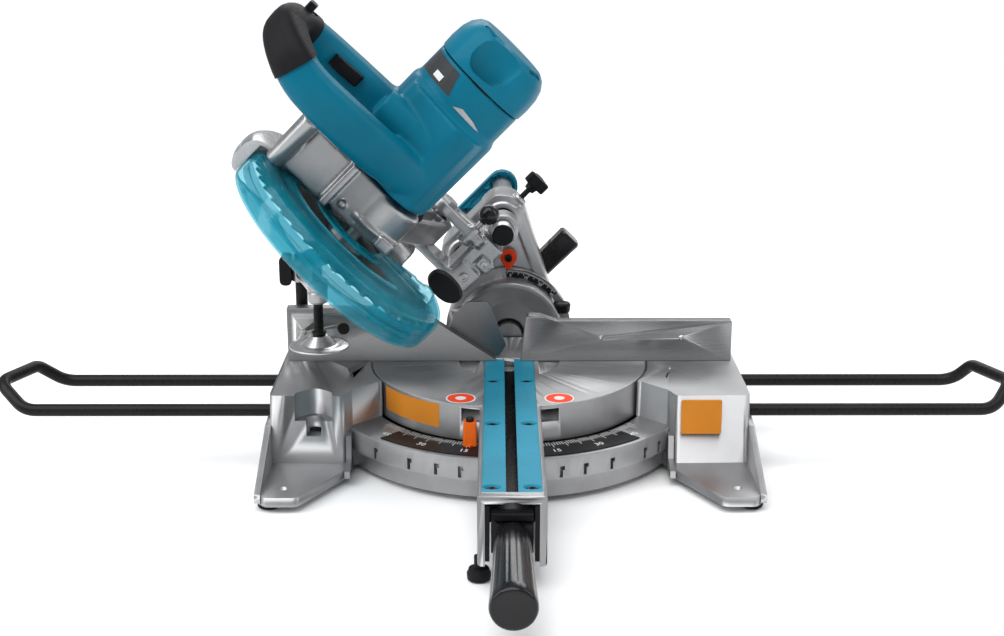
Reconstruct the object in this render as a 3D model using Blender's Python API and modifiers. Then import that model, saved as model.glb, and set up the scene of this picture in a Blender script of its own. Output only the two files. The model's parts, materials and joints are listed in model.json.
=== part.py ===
"""Sliding compound mitre saw with an 8.5 inch (216 mm) blade, standing on its own feet.

Run it with: blender --background --python part.py

The machine is +Z up with the bench at z = 0, its left-right middle at x = 0 and its front at -Y.
It is stored with the head raised, tilted 45 degrees to the left and pushed right back, and with
both extension wings pulled out. Sizes below are millimetres, and the mesh helpers turn them
into metres. Head parts are written in the head's own upright frame: u to the right, v to the
rear and w up, with the bevel axis along v at table height.
"""
import math

import bmesh
import bpy
from mathutils import Matrix, Vector

MM = 0.001

# ---- driving dimensions -------------------------------------------------------------------
TABLE_HEIGHT = 82  # table surface above the bench
AXIS_Y = 77.3  # turntable axis, so that the whole machine is centred on y = 0
BEVEL_DEG = 45  # head tilt to the left as stored
GAP = 0.3  # between pieces that touch

BLADE_R = 108
BLADE_HALF = 0.9
BLADE_V, BLADE_W = -104, 212  # blade centre, head raised
CHOP_V, CHOP_W = 62, 148  # chop pivot, axis along u

TABLE_R = 136  # turntable
TABLE_DEEP = 36
RING_R = 178  # mitre scale ring
ARM_HALF = 28  # turntable arm, half width
ARM_FRONT = -343
BOARD_HALF = 24.3  # kerf boards, both together, half width
SLOT_HALF = 4.9
BLOCK_FRONT, BLOCK_REAR = -104, 42
BLOCK_SIDE = 226
FOOT_SIDE = 231
RUBBER_FOOT_R = 10.5
FENCE_THICK = 12

DRUM_R, DRUM_FRONT, DRUM_REAR = 57, 93, 118
ARM_DISC_R, ARM_FACE, ARM_BACK = 58, 118.4, 165
POLE_R, POLE_U, POLE_W = 11, (23, 79), 87.5
POLE_REAR = 300

GUARD_R = 115
CASE_R = 128
MOTOR_V, MOTOR_W, MOTOR_R = -78, 224, 48
MOTOR_START, MOTOR_SEAM, MOTOR_END = 61.3, 186, 229

WING_ROD_R, WING_ROD_Z = 6, -25
WING_FRONT_Y, WING_REAR_Y = -74, 14
CLAMP_X, CLAMP_Y = -184, -45
ROD_X, ROD_Y = -209, 28

# ---- colours (RGB), roughness, metallic ---------------------------------------------------
CAST = ((0.45, 0.45, 0.46), 0.45, 0.9)
MILLED = ((0.55, 0.55, 0.56), 0.3, 1.0)
STEEL = ((0.5, 0.5, 0.52), 0.25, 1.0)
TEAL = ((0.0, 0.13, 0.2), 0.45, 0.0)
BOARD = ((0.035, 0.3, 0.42), 0.5, 0.0)
BLACK = ((0.012, 0.012, 0.012), 0.45, 0.0)
RUBBER = ((0.02, 0.02, 0.02), 0.8, 0.0)
RED = ((0.8, 0.05, 0.02), 0.4, 0.0)
GUARD = ((0.02, 0.35, 0.5), 0.1, 0.0)
COPPER = ((0.5, 0.2, 0.08), 0.4, 1.0)


# ---- scene, frames and modelling helpers --------------------------------------------------
for old in list(bpy.data.objects):
    bpy.data.objects.remove(old)
PARTS = bpy.data.collections.new("mitre_saw")
CUTTERS = bpy.data.collections.new("cutters")
for made in (PARTS, CUTTERS):
    bpy.context.scene.collection.children.link(made)


def axis_frame(name, at=(0, 0, 0), turn=(0, 0, 0), parent=None):
    """An empty on a joint's axis. 'at' is in the parent's frame, 'turn' in degrees."""
    empty = bpy.data.objects.new(name, None)
    empty.location = Vector(at) * MM
    empty.rotation_euler = [math.radians(a) for a in turn]
    empty.parent = parent
    PARTS.objects.link(empty)
    return empty


SAW = axis_frame("machine", (0, AXIS_Y, TABLE_HEIGHT))
MITRE = axis_frame("mitre_axis", parent=SAW)
BEVEL = axis_frame("bevel_axis", turn=(0, -BEVEL_DEG, 0), parent=MITRE)
SLIDE = axis_frame("slide_axis", parent=BEVEL)
CHOP = axis_frame("chop_axis", (0, CHOP_V, CHOP_W), parent=SLIDE)


def place(obj, parent):
    """Hang a shape, written in the saw's or the head's frame, on the empty of its joint."""
    obj.parent = parent
    if parent is CHOP:
        obj.location = -CHOP.location
    return obj


def material(name, finish):
    colour, roughness, metallic = finish
    mat = bpy.data.materials.new(name)
    mat.use_nodes = True
    shader = mat.node_tree.nodes["Principled BSDF"]
    shader.inputs["Base Color"].default_value = (*colour, 1)
    shader.inputs["Roughness"].default_value = roughness
    shader.inputs["Metallic"].default_value = metallic
    return mat


def shape(mesh, name="tool"):
    obj = bpy.data.objects.new(name, mesh)
    CUTTERS.objects.link(obj)
    obj.hide_render = True
    obj.display_type = "WIRE"
    return obj


def from_bmesh(bm):
    mesh = bpy.data.meshes.new("tool")
    bm.to_mesh(mesh)
    bm.free()
    return shape(mesh)


def box(low, high):
    low, high = Vector(low), Vector(high)
    bm = bmesh.new()
    bmesh.ops.create_cube(bm, size=1)
    bmesh.ops.scale(bm, vec=(high - low) * MM, verts=bm.verts)
    bmesh.ops.translate(bm, vec=(high + low) / 2 * MM, verts=bm.verts)
    return from_bmesh(bm)


def rod(start, end, radius, end_radius=None, sides=24):
    """A round bar or cone between two points."""
    start, end = Vector(start), Vector(end)
    along = end - start
    bm = bmesh.new()
    bmesh.ops.create_cone(
        bm,
        cap_ends=True,
        segments=sides,
        radius1=radius * MM,
        radius2=(radius if end_radius is None else end_radius) * MM,
        depth=along.length * MM,
    )
    turn = along.to_track_quat("Z", "Y").to_matrix().to_4x4()
    bm.transform(Matrix.Translation((start + end) / 2 * MM) @ turn)
    return from_bmesh(bm)


def ball(at, radius):
    bm = bmesh.new()
    bmesh.ops.create_uvsphere(bm, u_segments=16, v_segments=10, radius=radius * MM)
    bmesh.ops.translate(bm, vec=Vector(at) * MM, verts=bm.verts)
    return from_bmesh(bm)


def baked(obj, weld=True):
    """The object with its modifiers or curve settings turned into a plain mesh."""
    bpy.context.view_layer.update()
    graph = bpy.context.evaluated_depsgraph_get()
    mesh = bpy.data.meshes.new_from_object(obj.evaluated_get(graph))
    bpy.data.objects.remove(obj)
    if not weld:
        return shape(mesh)
    bm = bmesh.new()
    bm.from_mesh(mesh)
    bmesh.ops.remove_doubles(bm, verts=bm.verts, dist=1e-6)
    bmesh.ops.recalc_face_normals(bm, faces=bm.faces)
    bpy.data.meshes.remove(mesh)
    return from_bmesh(bm)


TURNED_ALONG = {
    "Z": Matrix.Identity(4),
    "Y": Matrix.Rotation(math.radians(-90), 4, "X"),
    "X": Matrix.Rotation(math.radians(90), 4, "Y"),
}


def turned(profile, along="Z", at=(0, 0, 0), steps=48, arc=360):
    """A lathe shape. The profile is a closed list of (radius, distance along the axis)."""
    bm = bmesh.new()
    verts = [bm.verts.new((r * MM, 0, h * MM)) for r, h in profile]
    for first, second in zip(verts, verts[1:] + verts[:1]):
        if first.co.x > 0 or second.co.x > 0:
            bm.edges.new((first, second))
    obj = from_bmesh(bm)
    screw = obj.modifiers.new("turn", "SCREW")
    screw.angle = math.radians(arc)
    screw.steps = screw.render_steps = steps
    screw.use_merge_vertices = True
    screw.merge_threshold = 1e-5
    obj = baked(obj)
    obj.data.transform(Matrix.Translation(Vector(at) * MM) @ TURNED_ALONG[along])
    return obj


def plate(outline, start, end, across="y"):
    """A flat outline, extruded from start to end along the axis that it lies across."""
    curve = bpy.data.curves.new("outline", "CURVE")
    curve.dimensions = "2D"
    curve.fill_mode = "BOTH"
    curve.extrude = abs(end - start) / 2 * MM
    spline = curve.splines.new("POLY")
    spline.points.add(len(outline) - 1)
    for point, (a, b) in zip(spline.points, outline):
        point.co = (a * MM, b * MM, 0, 1)
    spline.use_cyclic_u = True
    obj = baked(shape(curve))
    middle = (start + end) / 2 * MM
    stand = {
        "y": Matrix(((1, 0, 0, 0), (0, 0, -1, middle), (0, 1, 0, 0), (0, 0, 0, 1))),
        "x": Matrix(((0, 0, 1, middle), (1, 0, 0, 0), (0, 1, 0, 0), (0, 0, 0, 1))),
        "z": Matrix.Translation((0, 0, middle)),
    }[across]
    obj.data.transform(stand)
    return obj


def tube(points, radius, sides=2):
    """A bent round bar along a chain of points."""
    curve = bpy.data.curves.new("path", "CURVE")
    curve.dimensions = "3D"
    curve.bevel_depth = radius * MM
    curve.bevel_resolution = sides
    curve.use_fill_caps = True
    spline = curve.splines.new("POLY")
    spline.points.add(len(points) - 1)
    for point, at in zip(spline.points, points):
        point.co = (*(Vector(at) * MM), 1)
    return baked(shape(curve))


def smooth_path(points, per_span=4):
    """Points along a Catmull-Rom curve through the given ones."""
    points = [Vector(p) for p in points]
    ends = [points[0] * 2 - points[1], *points, points[-1] * 2 - points[-2]]
    out = []
    for a, b, c, d in zip(ends, ends[1:], ends[2:], ends[3:]):
        for k in range(per_span):
            t = k / per_span
            out.append(
                0.5
                * (
                    2 * b
                    + (c - a) * t
                    + (2 * a - 5 * b + 4 * c - d) * t * t
                    + (3 * b - a - 3 * c + d) * t**3
                )
            )
    return [*out, points[-1]]


def arc(centre, radius, start, end, steps=12):
    """Points on a circle, angles in degrees, for outlines."""
    angles = (math.radians(start + (end - start) * k / steps) for k in range(steps + 1))
    return [(centre[0] + radius * math.cos(a), centre[1] + radius * math.sin(a)) for a in angles]


def toothed(centre, tip, root, teeth, start, end):
    """A spur wheel or a fan across the x axis, centre given as (v, w)."""
    outline = []
    for k in range(teeth):
        for part, radius in ((0, root), (0.3, tip), (0.55, tip), (0.85, root)):
            angle = math.tau * (k + part) / teeth
            outline.append(
                (centre[0] + radius * math.cos(angle), centre[1] + radius * math.sin(angle))
            )
    return plate(outline, start, end, across="x")


def boolean(obj, tool, operation):
    step = obj.modifiers.new(operation.lower(), "BOOLEAN")
    step.operation = operation
    step.object = tool
    step.solver = "EXACT"


def join(*shapes):
    """One body from several that run into each other."""
    for other in shapes[1:]:
        boolean(shapes[0], other, "UNION")
    return baked(shapes[0], weld=False)


def cut(obj, *tools):
    for tool in tools:
        boolean(obj, tool, "DIFFERENCE")
    return baked(obj, weld=False)


def part(name, obj, parent, finish, round_edges=0):
    """Give a finished shape its name, its material and its place in the machine."""
    obj.name = obj.data.name = name
    obj.hide_render = False
    obj.display_type = "TEXTURED"
    CUTTERS.objects.unlink(obj)
    PARTS.objects.link(obj)
    obj.data.materials.append(material(name, finish))
    obj.data.shade_smooth()
    obj.data.set_sharp_from_angle(angle=math.radians(35))
    if round_edges:
        bevel = obj.modifiers.new("edges", "BEVEL")
        bevel.width = round_edges * MM
        bevel.segments = 1
        bevel.limit_method = "ANGLE"
    return place(obj, parent)


# ---- base: one casting, fences, scale, feet ----------------------------------------------
def base_block(side):
    """A side table of the base with its sloping front foot; side is -1 left or 1 right."""
    outline = [(BLOCK_SIDE, BLOCK_FRONT), (154, BLOCK_FRONT - 2), (112, -62), (112, BLOCK_REAR)]
    outline.append((BLOCK_SIDE, BLOCK_REAR))
    return plate([(side * x, y) for x, y in outline], -66, 0, across="z")


def foot_plate(side):
    inner, outer = 176, FOOT_SIDE
    front = [(side * inner, -60), (side * outer, -60), (side * outer, -176), (side * 222, -190)]
    front += [(side * 194, -190), (side * inner, -172)]
    sides = sorted((side * inner, side * outer))
    rear = box((sides[0], 20, -76), (sides[1], 96, -66))
    gusset = plate([(-60, -67), (-60, -12), (BLOCK_FRONT, -12), (-152, -67)], 196, 224, across="x")
    if side < 0:
        gusset.data.transform(Matrix.Scale(-1, 4, (1, 0, 0)))
        gusset.data.flip_normals()
    sides = sorted((side * 150, side * BLOCK_SIDE))
    riser = box((sides[0], BLOCK_FRONT, -76), (sides[1], BLOCK_REAR, -60))
    return plate(front, -76, -68, across="z"), rear, gusset, riser


ring = turned([(178, -35), (178, -66), (139, -66), (139, -35)], steps=56)
ring = cut(ring, box((-200, 20, -70), (200, 200, -30)))
floor = turned([(0, -62), (150, -62), (150, -76), (0, -76)], steps=48)
floor = cut(floor, rod((0, 0, -80), (0, 0, -60), 8.3))
ring_wall = turned([(178, -60), (178, -76), (146, -76), (146, -60)], steps=56)
ring_wall = cut(ring_wall, box((-200, 20, -80), (200, 200, -50)))
drum_room = rod((0, 0, -61.9), (0, 0, 5), TABLE_R + 2, sides=72)
base = join(base_block(-1), base_block(1), *foot_plate(-1), *foot_plate(1), ring, ring_wall, floor)
wing_bores = [
    rod((side * 90, y, WING_ROD_Z), (side * 240, y, WING_ROD_Z), WING_ROD_R + 0.5, sides=12)
    for side in (-1, 1)
    for y in (WING_FRONT_Y, WING_REAR_Y)
]
post_bore = rod((ROD_X, ROD_Y, -56), (ROD_X, ROD_Y, 20), 6.4, sides=16)
base = cut(base, drum_room, post_bore, *wing_bores)
part("base_casting", base, SAW, CAST)

scale_outline = arc((0, 0), 174, -134, -46, 36) + arc((0, 0), 142, -46, -134, 36)
scale = plate(scale_outline, -34.6, -34, across="z")
part("mitre_scale", scale, SAW, BLACK)

fence_z = GAP + 0.1
left_outline = [(-221, fence_z), (-12, fence_z), (-84, 48), (-172, 48), (-176, 55.5), (-221, 55.5)]
left_fence = join(
    plate(left_outline, 0, FENCE_THICK),
    box((-221, 8, fence_z), (-144, 38, 8)),
)
left_fence = cut(left_fence, rod((ROD_X, ROD_Y, -5), (ROD_X, ROD_Y, 20), 6.4, sides=16))
part("left_fence", left_fence, SAW, MILLED)
right_outline = [(12, fence_z), (222, fence_z), (222, 41.6), (44, 41.4), (28, 47.5), (17, 47.5)]
right_fence = join(
    plate(right_outline, 0, FENCE_THICK),
    box((144, 8, fence_z), (219, 38, 8)),
)
fence_holes = [rod((x, -5, 24), (x, 20, 24), 2.6, sides=12) for x in (92, 172)]
part("right_fence", cut(right_fence, *fence_holes), SAW, MILLED)
for x, y, end in ((219.5, -173, "front"), (205, 80, "rear")):
    for side, name in ((-1, "left"), (1, "right")):
        foot = rod((side * x, y, -TABLE_HEIGHT), (side * x, y, -76 - GAP), RUBBER_FOOT_R, sides=20)
        part(f"foot_{end}_{name}", foot, SAW, RUBBER)
pivot = join(rod((0, 0, -79), (0, 0, -8.5), 8), rod((0, 0, -81), (0, 0, -76 - GAP), 14))
part("turntable_bolt", pivot, SAW, STEEL)

sub_outline = [(-51, 1.2), (-10, 1.2), (-3, 13), (-21, 58), (-42, 58), (-56, 44)]
sub_outline += [(-60, 30), (-60, 12)]
SUB_FENCE = axis_frame("sub_fence_axis", (-50, 14, 14), parent=SAW)
sub_fence = plate(sub_outline, FENCE_THICK + 0.4, FENCE_THICK + 3.4)
sub_fence.data.transform(Matrix.Translation(-SUB_FENCE.location))
part("sub_fence", sub_fence, SUB_FENCE, MILLED)

for side, name in ((-1, "left"), (1, "right")):
    LOCK = axis_frame(f"wing_lock_{name}_axis", (side * BLOCK_SIDE, -74, -52), parent=SAW)
    lock = join(
        rod((side * GAP, 0, 0), (side * 5, 0, 0), 7, sides=12),
        box((min(side * 4, side * 9), -9, -2), (max(side * 4, side * 9), 9, 2)),
    )
    part(f"wing_lock_{name}", lock, LOCK, BLACK)


# ---- extension wings ----------------------------------------------------------------------
def wing_path(side, reach):
    """Round bar: out along the front rod, up to the crossbar and back along the rear rod."""
    inner = 198
    front = [(inner, WING_FRONT_Y), (468, WING_FRONT_Y)]
    rear = [(447, WING_REAR_Y), (inner, WING_REAR_Y)]
    bends = [(front[1], -25), ((483, -71), -19), ((reach, -56), -6), ((reach, -40), -4)]
    bends += [((reach - 18, -2), -4), ((reach - 27, 10), -10), (rear[0], -25)]
    points = [(front[0][0], front[0][1], WING_ROD_Z)]
    points += [(x, y, z) for (x, y), z in bends] + [(rear[1][0], rear[1][1], WING_ROD_Z)]
    return [(side * x, y, z) for x, y, z in points]


for side, name, reach in ((-1, "left", 493), (1, "right", 485)):
    WING = axis_frame(f"wing_{name}_axis", parent=SAW)
    part(f"wing_{name}", tube(wing_path(side, reach), WING_ROD_R, sides=2), WING, BLACK)

# ---- hold-down clamp ----------------------------------------------------------------------
POST = axis_frame("clamp_post_axis", (ROD_X, ROD_Y, 0), parent=SAW)
part("clamp_post", rod((0, 0, -48), (0, 0, 104), 6, sides=16), POST, STEEL)
CLAMP = axis_frame("clamp_swing_axis", parent=POST)
reach_x, reach_y = CLAMP_X - ROD_X, CLAMP_Y - ROD_Y
arm = join(
    rod((0, 0, 76), (0, 0, 98), 11, sides=20),
    tube([(0, 0, 87), (reach_x, reach_y, 85)], 7, sides=2),
    rod((reach_x, reach_y, 74), (reach_x, reach_y, 97), 10.5, sides=20),
)
arm = cut(
    arm,
    rod((0, 0, 70), (0, 0, 105), 6.3, sides=16),
    rod((reach_x, reach_y, 70), (reach_x, reach_y, 105), 5.3, sides=16),
    rod((-20, 0, 88), (0, 0, 88), 3.4, sides=12),
)
part("clamp_arm", arm, CLAMP, CAST)
CLAMP_LOCK = axis_frame("clamp_lock_axis", (0, 0, 88), parent=CLAMP)
lock = join(rod((-7, 0, 0), (-18, 0, 0), 3, sides=12), box((-30, -7.5, -15), (-17, 7.5, 15)))
part("clamp_lock_screw", lock, CLAMP_LOCK, BLACK)
CLAMP_FOOT = axis_frame("clamp_foot_axis", (reach_x, reach_y, 0), parent=CLAMP)
foot = turned([(0, 42), (8, 42), (12, 38), (28, 34), (29, 30), (0, 30)], steps=32)
foot = cut(foot, rod((0, 0, 36), (0, 0, 50), 5.2, sides=16))
part("clamp_foot", foot, CLAMP_FOOT, MILLED)
screw = join(
    rod((0, 0, 36.4), (0, 0, 116), 4.8, sides=16),
    rod((0, 0, 113), (0, 0, 125), 12, sides=16),
)
CLAMP_SCREW = axis_frame("clamp_screw_axis", parent=CLAMP_FOOT)
part("clamp_screw", screw, CLAMP_SCREW, BLACK)

# ---- turntable ----------------------------------------------------------------------------
table_profile = [(0, 0), (TABLE_R, 0), (TABLE_R, -TABLE_DEEP), (130, -TABLE_DEEP), (130, -8)]
table_profile += [(26, -8), (26, -60), (0, -60)]
table = turned(table_profile, steps=56)
drum = join(
    rod((0, DRUM_FRONT, 0), (0, DRUM_REAR, 0), DRUM_R, sides=48),
    box((-50, 40, -34), (50, DRUM_REAR, -4)),
)
flange = plate(arc((0, 0), 66.5, 0, 180, 24) + [(-66.5, -4), (66.5, -4)], DRUM_REAR - 6, DRUM_REAR)
table = join(
    table,
    box((-ARM_HALF, ARM_FRONT, -33), (ARM_HALF, 20, 0)),
    box((-ARM_HALF, ARM_FRONT, -61), (ARM_HALF, -186, -10)),
    drum,
    flange,
)
table = cut(
    table,
    box((-82, DRUM_REAR, -80), (82, 140, 20)),
    rod((0, 70, 0), (0, DRUM_FRONT, 0), 15),
    box((-BOARD_HALF - GAP, ARM_FRONT + 8, -3.3), (BOARD_HALF + GAP, 6, 2)),
    box((-22, ARM_FRONT + 12, -30), (22, 10, 1)),
    box((-24, ARM_FRONT - 5, -70), (24, -192, -33.5)),
    box((-20, ARM_FRONT - 5, -70), (20, ARM_FRONT + 17, -10)),
    rod((0, 0, -70), (0, 0, -8), 8.3),
    rod((0, 80, 0), (0, 130, 0), 8.3),
)
part("turntable", table, MITRE, CAST)
for side, name in ((-1, "left"), (1, "right")):
    board = box(
        (min(side * SLOT_HALF, side * BOARD_HALF), ARM_FRONT + 8.3, -3),
        (max(side * SLOT_HALF, side * BOARD_HALF), 5.7, 0),
    )
    part(f"kerf_board_{name}", board, MITRE, BOARD)
bevel_scale = plate(
    arc((0, 0), 66, 92, 38, 12) + arc((0, 0), 57.6, 38, 92, 12), DRUM_REAR - 8, DRUM_REAR - 6.3
)
part("bevel_scale", bevel_scale, MITRE, BLACK)
bevel_pin = join(
    rod((0, 84, 0), (0, 176, 0), 8),
    rod((0, 84, 0), (0, DRUM_FRONT - GAP, 0), 14),
)
part("bevel_pin", bevel_pin, MITRE, STEEL)
support = join(
    rod((-27, -322, -81.5), (-27, -322, -72), 10, sides=20),
    rod((-27, -322, -74), (-27, -322, -61 - GAP), 4, sides=12),
)
part("arm_support_foot", support, MITRE, RUBBER)
LATCH = axis_frame("mitre_latch_axis", (0, ARM_FRONT + 6, -48), parent=MITRE)
latch = box((-17, -5, 0), (17, 4, 36))
latch = join(latch, box((-17, -14, 31), (17, 0, 36)))
latch = cut(latch, rod((0, -20, 17), (0, 20, 17), 9.5, sides=20))
part("mitre_latch", latch, LATCH, BLACK)
GRIP = axis_frame("mitre_grip_axis", (0, ARM_FRONT + 14, -31), turn=(4.2, 0, 0), parent=MITRE)
grip = turned(
    [(0, 0), (7, 0), (7, -16), (12, -24), (13, -34), (17, -72), (18.5, -110), (17, -128), (0, -130)],
    along="Y",
    steps=24,
)
part("mitre_grip", grip, GRIP, BLACK)

# ---- bevel arm ----------------------------------------------------------------------------
POLE_LEFT, POLE_RIGHT = POLE_U
arm_outline = [(-54, 20), (-4, 74), (-2, 100), (12, 112)]
arm_outline += [(92, 112), (103, 98), (104, 80), (57, -10)]
bevel_arm = join(
    rod((0, ARM_FACE, 0), (0, ARM_BACK, 0), ARM_DISC_R, sides=48),
    plate(arm_outline, ARM_FACE + 1.6, ARM_BACK),
    *[rod((u, ARM_FACE, POLE_W), (u, 172, POLE_W), 25, sides=32) for u in POLE_U],
)
bevel_arm = cut(
    bevel_arm,
    rod((0, 100, 0), (0, 180, 0), 8.3),
    *[rod((u, 100, POLE_W), (u, 180, POLE_W), 14.4, sides=24) for u in POLE_U],
    rod((90, 140, POLE_W), (110, 140, POLE_W), 3.4, sides=12),
)
part("bevel_arm", bevel_arm, BEVEL, CAST)
for u, name in zip(POLE_U, ("left", "right")):
    bush_profile = [(14.1, 26), (14.1, -26), (11.4, -26), (11.4, 26)]
    bush = turned(bush_profile, "Y", (u, 143, POLE_W), steps=24)
    if name == "right":
        bush = cut(bush, rod((u + 5, 140, POLE_W), (u + 20, 140, POLE_W), 3.3, sides=12))
    part(f"slide_bush_{name}", bush, BEVEL, BLACK)
pointer = join(
    plate(arc((54, 54), 8, -20, 200, 10)[::-1] + [(47.5, 47.5)], DRUM_REAR - 8, DRUM_REAR - 6.3),
    rod((54, DRUM_REAR - 7, 54), (54, ARM_FACE + 1.3, 54), 4, sides=12),
)
part("bevel_pointer", pointer, BEVEL, RED)
LEVER = axis_frame("bevel_lever_axis", (0, 176, 0), parent=BEVEL)
lever = join(
    rod((0, -10.6, 0), (0, 12, 0), 16),
    tube([(0, 6, 0), (30, 8, 11), (50, 8, 11)], 7),
    rod((46, 8, 11), (109, 8, 11), 13.5, sides=20),
)
lever = cut(lever, rod((0, -20, 0), (0, 1, 0), 8.3))
part("bevel_lever", lever, LEVER, BLACK)

# ---- sliding carriage ---------------------------------------------------------------------
ears = []
for low, high in ((8, 16), (52, 62)):
    ears.append(box((low, 44, 100), (high, 80, CHOP_W)))
    ears.append(rod((low, CHOP_V, CHOP_W), (high, CHOP_V, CHOP_W), 18))
carriage = join(
    box((0, 46, 74), (66, 98, 103)),
    rod((POLE_RIGHT, 70, POLE_W), (POLE_RIGHT, 98, POLE_W), 16),
    *ears,
)
carriage = cut(
    carriage,
    *[rod((u, 18, POLE_W), (u, 110, POLE_W), POLE_R + GAP, sides=24) for u in POLE_U],
    rod((0, CHOP_V, CHOP_W), (70, CHOP_V, CHOP_W), 7.3),
    rod((40, 50, 112), (70, 50, 112), 3.8, sides=12),
)
part("carriage", carriage, SLIDE, CAST)
for u, name in zip(POLE_U, ("left", "right")):
    pole = rod((u, 49, POLE_W), (u, POLE_REAR, POLE_W), POLE_R, sides=24)
    part(f"slide_pole_{name}", pole, SLIDE, STEEL)
end_outline = arc((POLE_LEFT, POLE_W), 18, 90, 270) + arc((POLE_RIGHT, POLE_W), 18, -90, 90)
end_plate = plate(end_outline, 289, 304)
sockets = [
    rod((u, 280, POLE_W), (u, POLE_REAR + GAP, POLE_W), POLE_R + GAP, sides=24) for u in POLE_U
]
end_plate = cut(end_plate, *sockets)
part("pole_end_plate", end_plate, SLIDE, TEAL)
part("chop_pin", rod((5, CHOP_V, CHOP_W), (66, CHOP_V, CHOP_W), 7), SLIDE, STEEL)
turns, coil_r = 3, 10.6
coil = [
    (
        29 + 11 * k / (turns * 12),
        CHOP_V + coil_r * math.cos(math.tau * k / 12),
        CHOP_W + coil_r * math.sin(math.tau * k / 12),
    )
    for k in range(turns * 12 + 1)
]
part("return_spring", tube(coil, 1.4, sides=1), SLIDE, STEEL)
STOPPER = axis_frame("stopper_axis", (62, 50, 112), parent=SLIDE)
stopper = join(rod((-11, 0, 0), (16, 0, 0), 3.4, sides=12), ball((22, 0, 0), 10.5))
part("stopper_pin", stopper, STOPPER, BLACK)
SLIDE_LOCK = axis_frame("slide_lock_axis", (104, 140, POLE_W), parent=BEVEL)
lobes = []
for angle in (0, 120, 240):
    b, c = 7 * math.cos(math.radians(angle)), 7 * math.sin(math.radians(angle))
    lobes.append(rod((20, b, c), (32, b, c), 7, sides=12))
slide_lock = join(rod((-10.5, 0, 0), (24, 0, 0), 3, sides=12), *lobes)
part("slide_lock_screw", slide_lock, SLIDE_LOCK, BLACK)

# ---- head: gear case, blade case, motor, handle -------------------------------------------
arm_side = [(-96, 250), (-80, 182), (0, 148), (52, 129), (76, 136)]
arm_side += [(80, 156), (60, 167), (8, 196), (-40, 252)]
gear_case = join(
    rod((20.5, BLADE_V, BLADE_W), (61, BLADE_V, BLADE_W), 35, sides=40),
    rod((46, MOTOR_V, MOTOR_W), (61, MOTOR_V, MOTOR_W), 46, sides=40),
    plate(arm_side, 20.5, 49, across="x"),
)
gear_case = cut(
    gear_case,
    rod((26, BLADE_V, BLADE_W), (70, BLADE_V, BLADE_W), 28, sides=32),
    rod((50, MOTOR_V, MOTOR_W), (70, MOTOR_V, MOTOR_W), 41, sides=32),
    rod((30, MOTOR_V, MOTOR_W), (70, MOTOR_V, MOTOR_W), 12),
    rod((10, BLADE_V, BLADE_W), (70, BLADE_V, BLADE_W), 7.5),
    rod((10, CHOP_V, CHOP_W), (70, CHOP_V, CHOP_W), 7.3),
    rod((26.5, CHOP_V, CHOP_W), (42.5, CHOP_V, CHOP_W), 13.4),
)
part("gear_case", gear_case, CHOP, CAST)


def sector(start, end, reach, low, high):
    """A pie slice about the blade's centre, to cut a turned cover; 0 is forward, 90 is up."""
    steps = max(2, int((end - start) / 30))
    angles = (math.radians(start + (end - start) * k / steps) for k in range(steps + 1))
    rim = [(BLADE_V - reach * math.cos(a), BLADE_W + reach * math.sin(a)) for a in angles]
    return plate([(BLADE_V, BLADE_W), *rim], low, high, across="x")


blade_at = (0, BLADE_V, BLADE_W)
case_profile = [(118, -17), (124, -17), (124, 17), (37, 17), (37, 20), (CASE_R, 20)]
case_profile += [(CASE_R, -20), (118, -20)]
case = turned(case_profile, "X", blade_at, steps=48)
case = cut(case, sector(-148, 78, 190, -30, 30))
case_ear = (BLADE_V + 40, BLADE_W + 92)
case = join(case, rod((16, *case_ear), (20, *case_ear), 9, sides=16))
part("blade_case", case, CHOP, CAST)

guard_rim = [(60, -24), (112.5, -24), (112.5, 11), (32, 11), (32, 13)]
guard_rim += [(GUARD_R, 13), (GUARD_R, -26), (60, -26)]
guard = turned(guard_rim, "X", blade_at, steps=48)
guard = cut(guard, sector(84, 245, 190, -40, 40))
guard_hub = turned([(34.5, 13), (34.5, 11), (30, 11), (30, 13)], "X", blade_at, steps=40)
GUARD_AXIS = axis_frame("guard_axis", (0, BLADE_V - CHOP_V, BLADE_W - CHOP_W), parent=CHOP)
guard = join(guard, guard_hub)
guard.data.transform(Matrix.Translation(-Vector(blade_at) * MM))
part("lower_guard", guard, GUARD_AXIS, GUARD)

motor_at = (0, MOTOR_V, MOTOR_W)
motor_profile = [(45, MOTOR_SEAM), (MOTOR_R, MOTOR_SEAM), (MOTOR_R, MOTOR_START), (45, MOTOR_START)]
part("motor_housing", turned(motor_profile, "X", motor_at, steps=40), CHOP, TEAL)
cap_start = MOTOR_SEAM + GAP
cap_profile = [(43, 212), (36, 225), (0, 225), (0, MOTOR_END), (38, MOTOR_END), (46, 214)]
cap_profile += [(MOTOR_R, cap_start), (45, cap_start)]
cap = turned(cap_profile, "X", motor_at, steps=40)
vents = [
    box((215, MOTOR_V + v - 3, MOTOR_W + w - 12), (240, MOTOR_V + v + 3, MOTOR_W + w + 12))
    for v, w in ((-22, 0), (22, 0))
]
part("motor_end_cap", cut(cap, *vents), CHOP, TEAL)
stator = [(32, 164), (44.6, 164), (44.6, 112), (32, 112)]
part("motor_field", turned(stator, "X", motor_at, steps=32), CHOP, STEEL)

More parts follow.
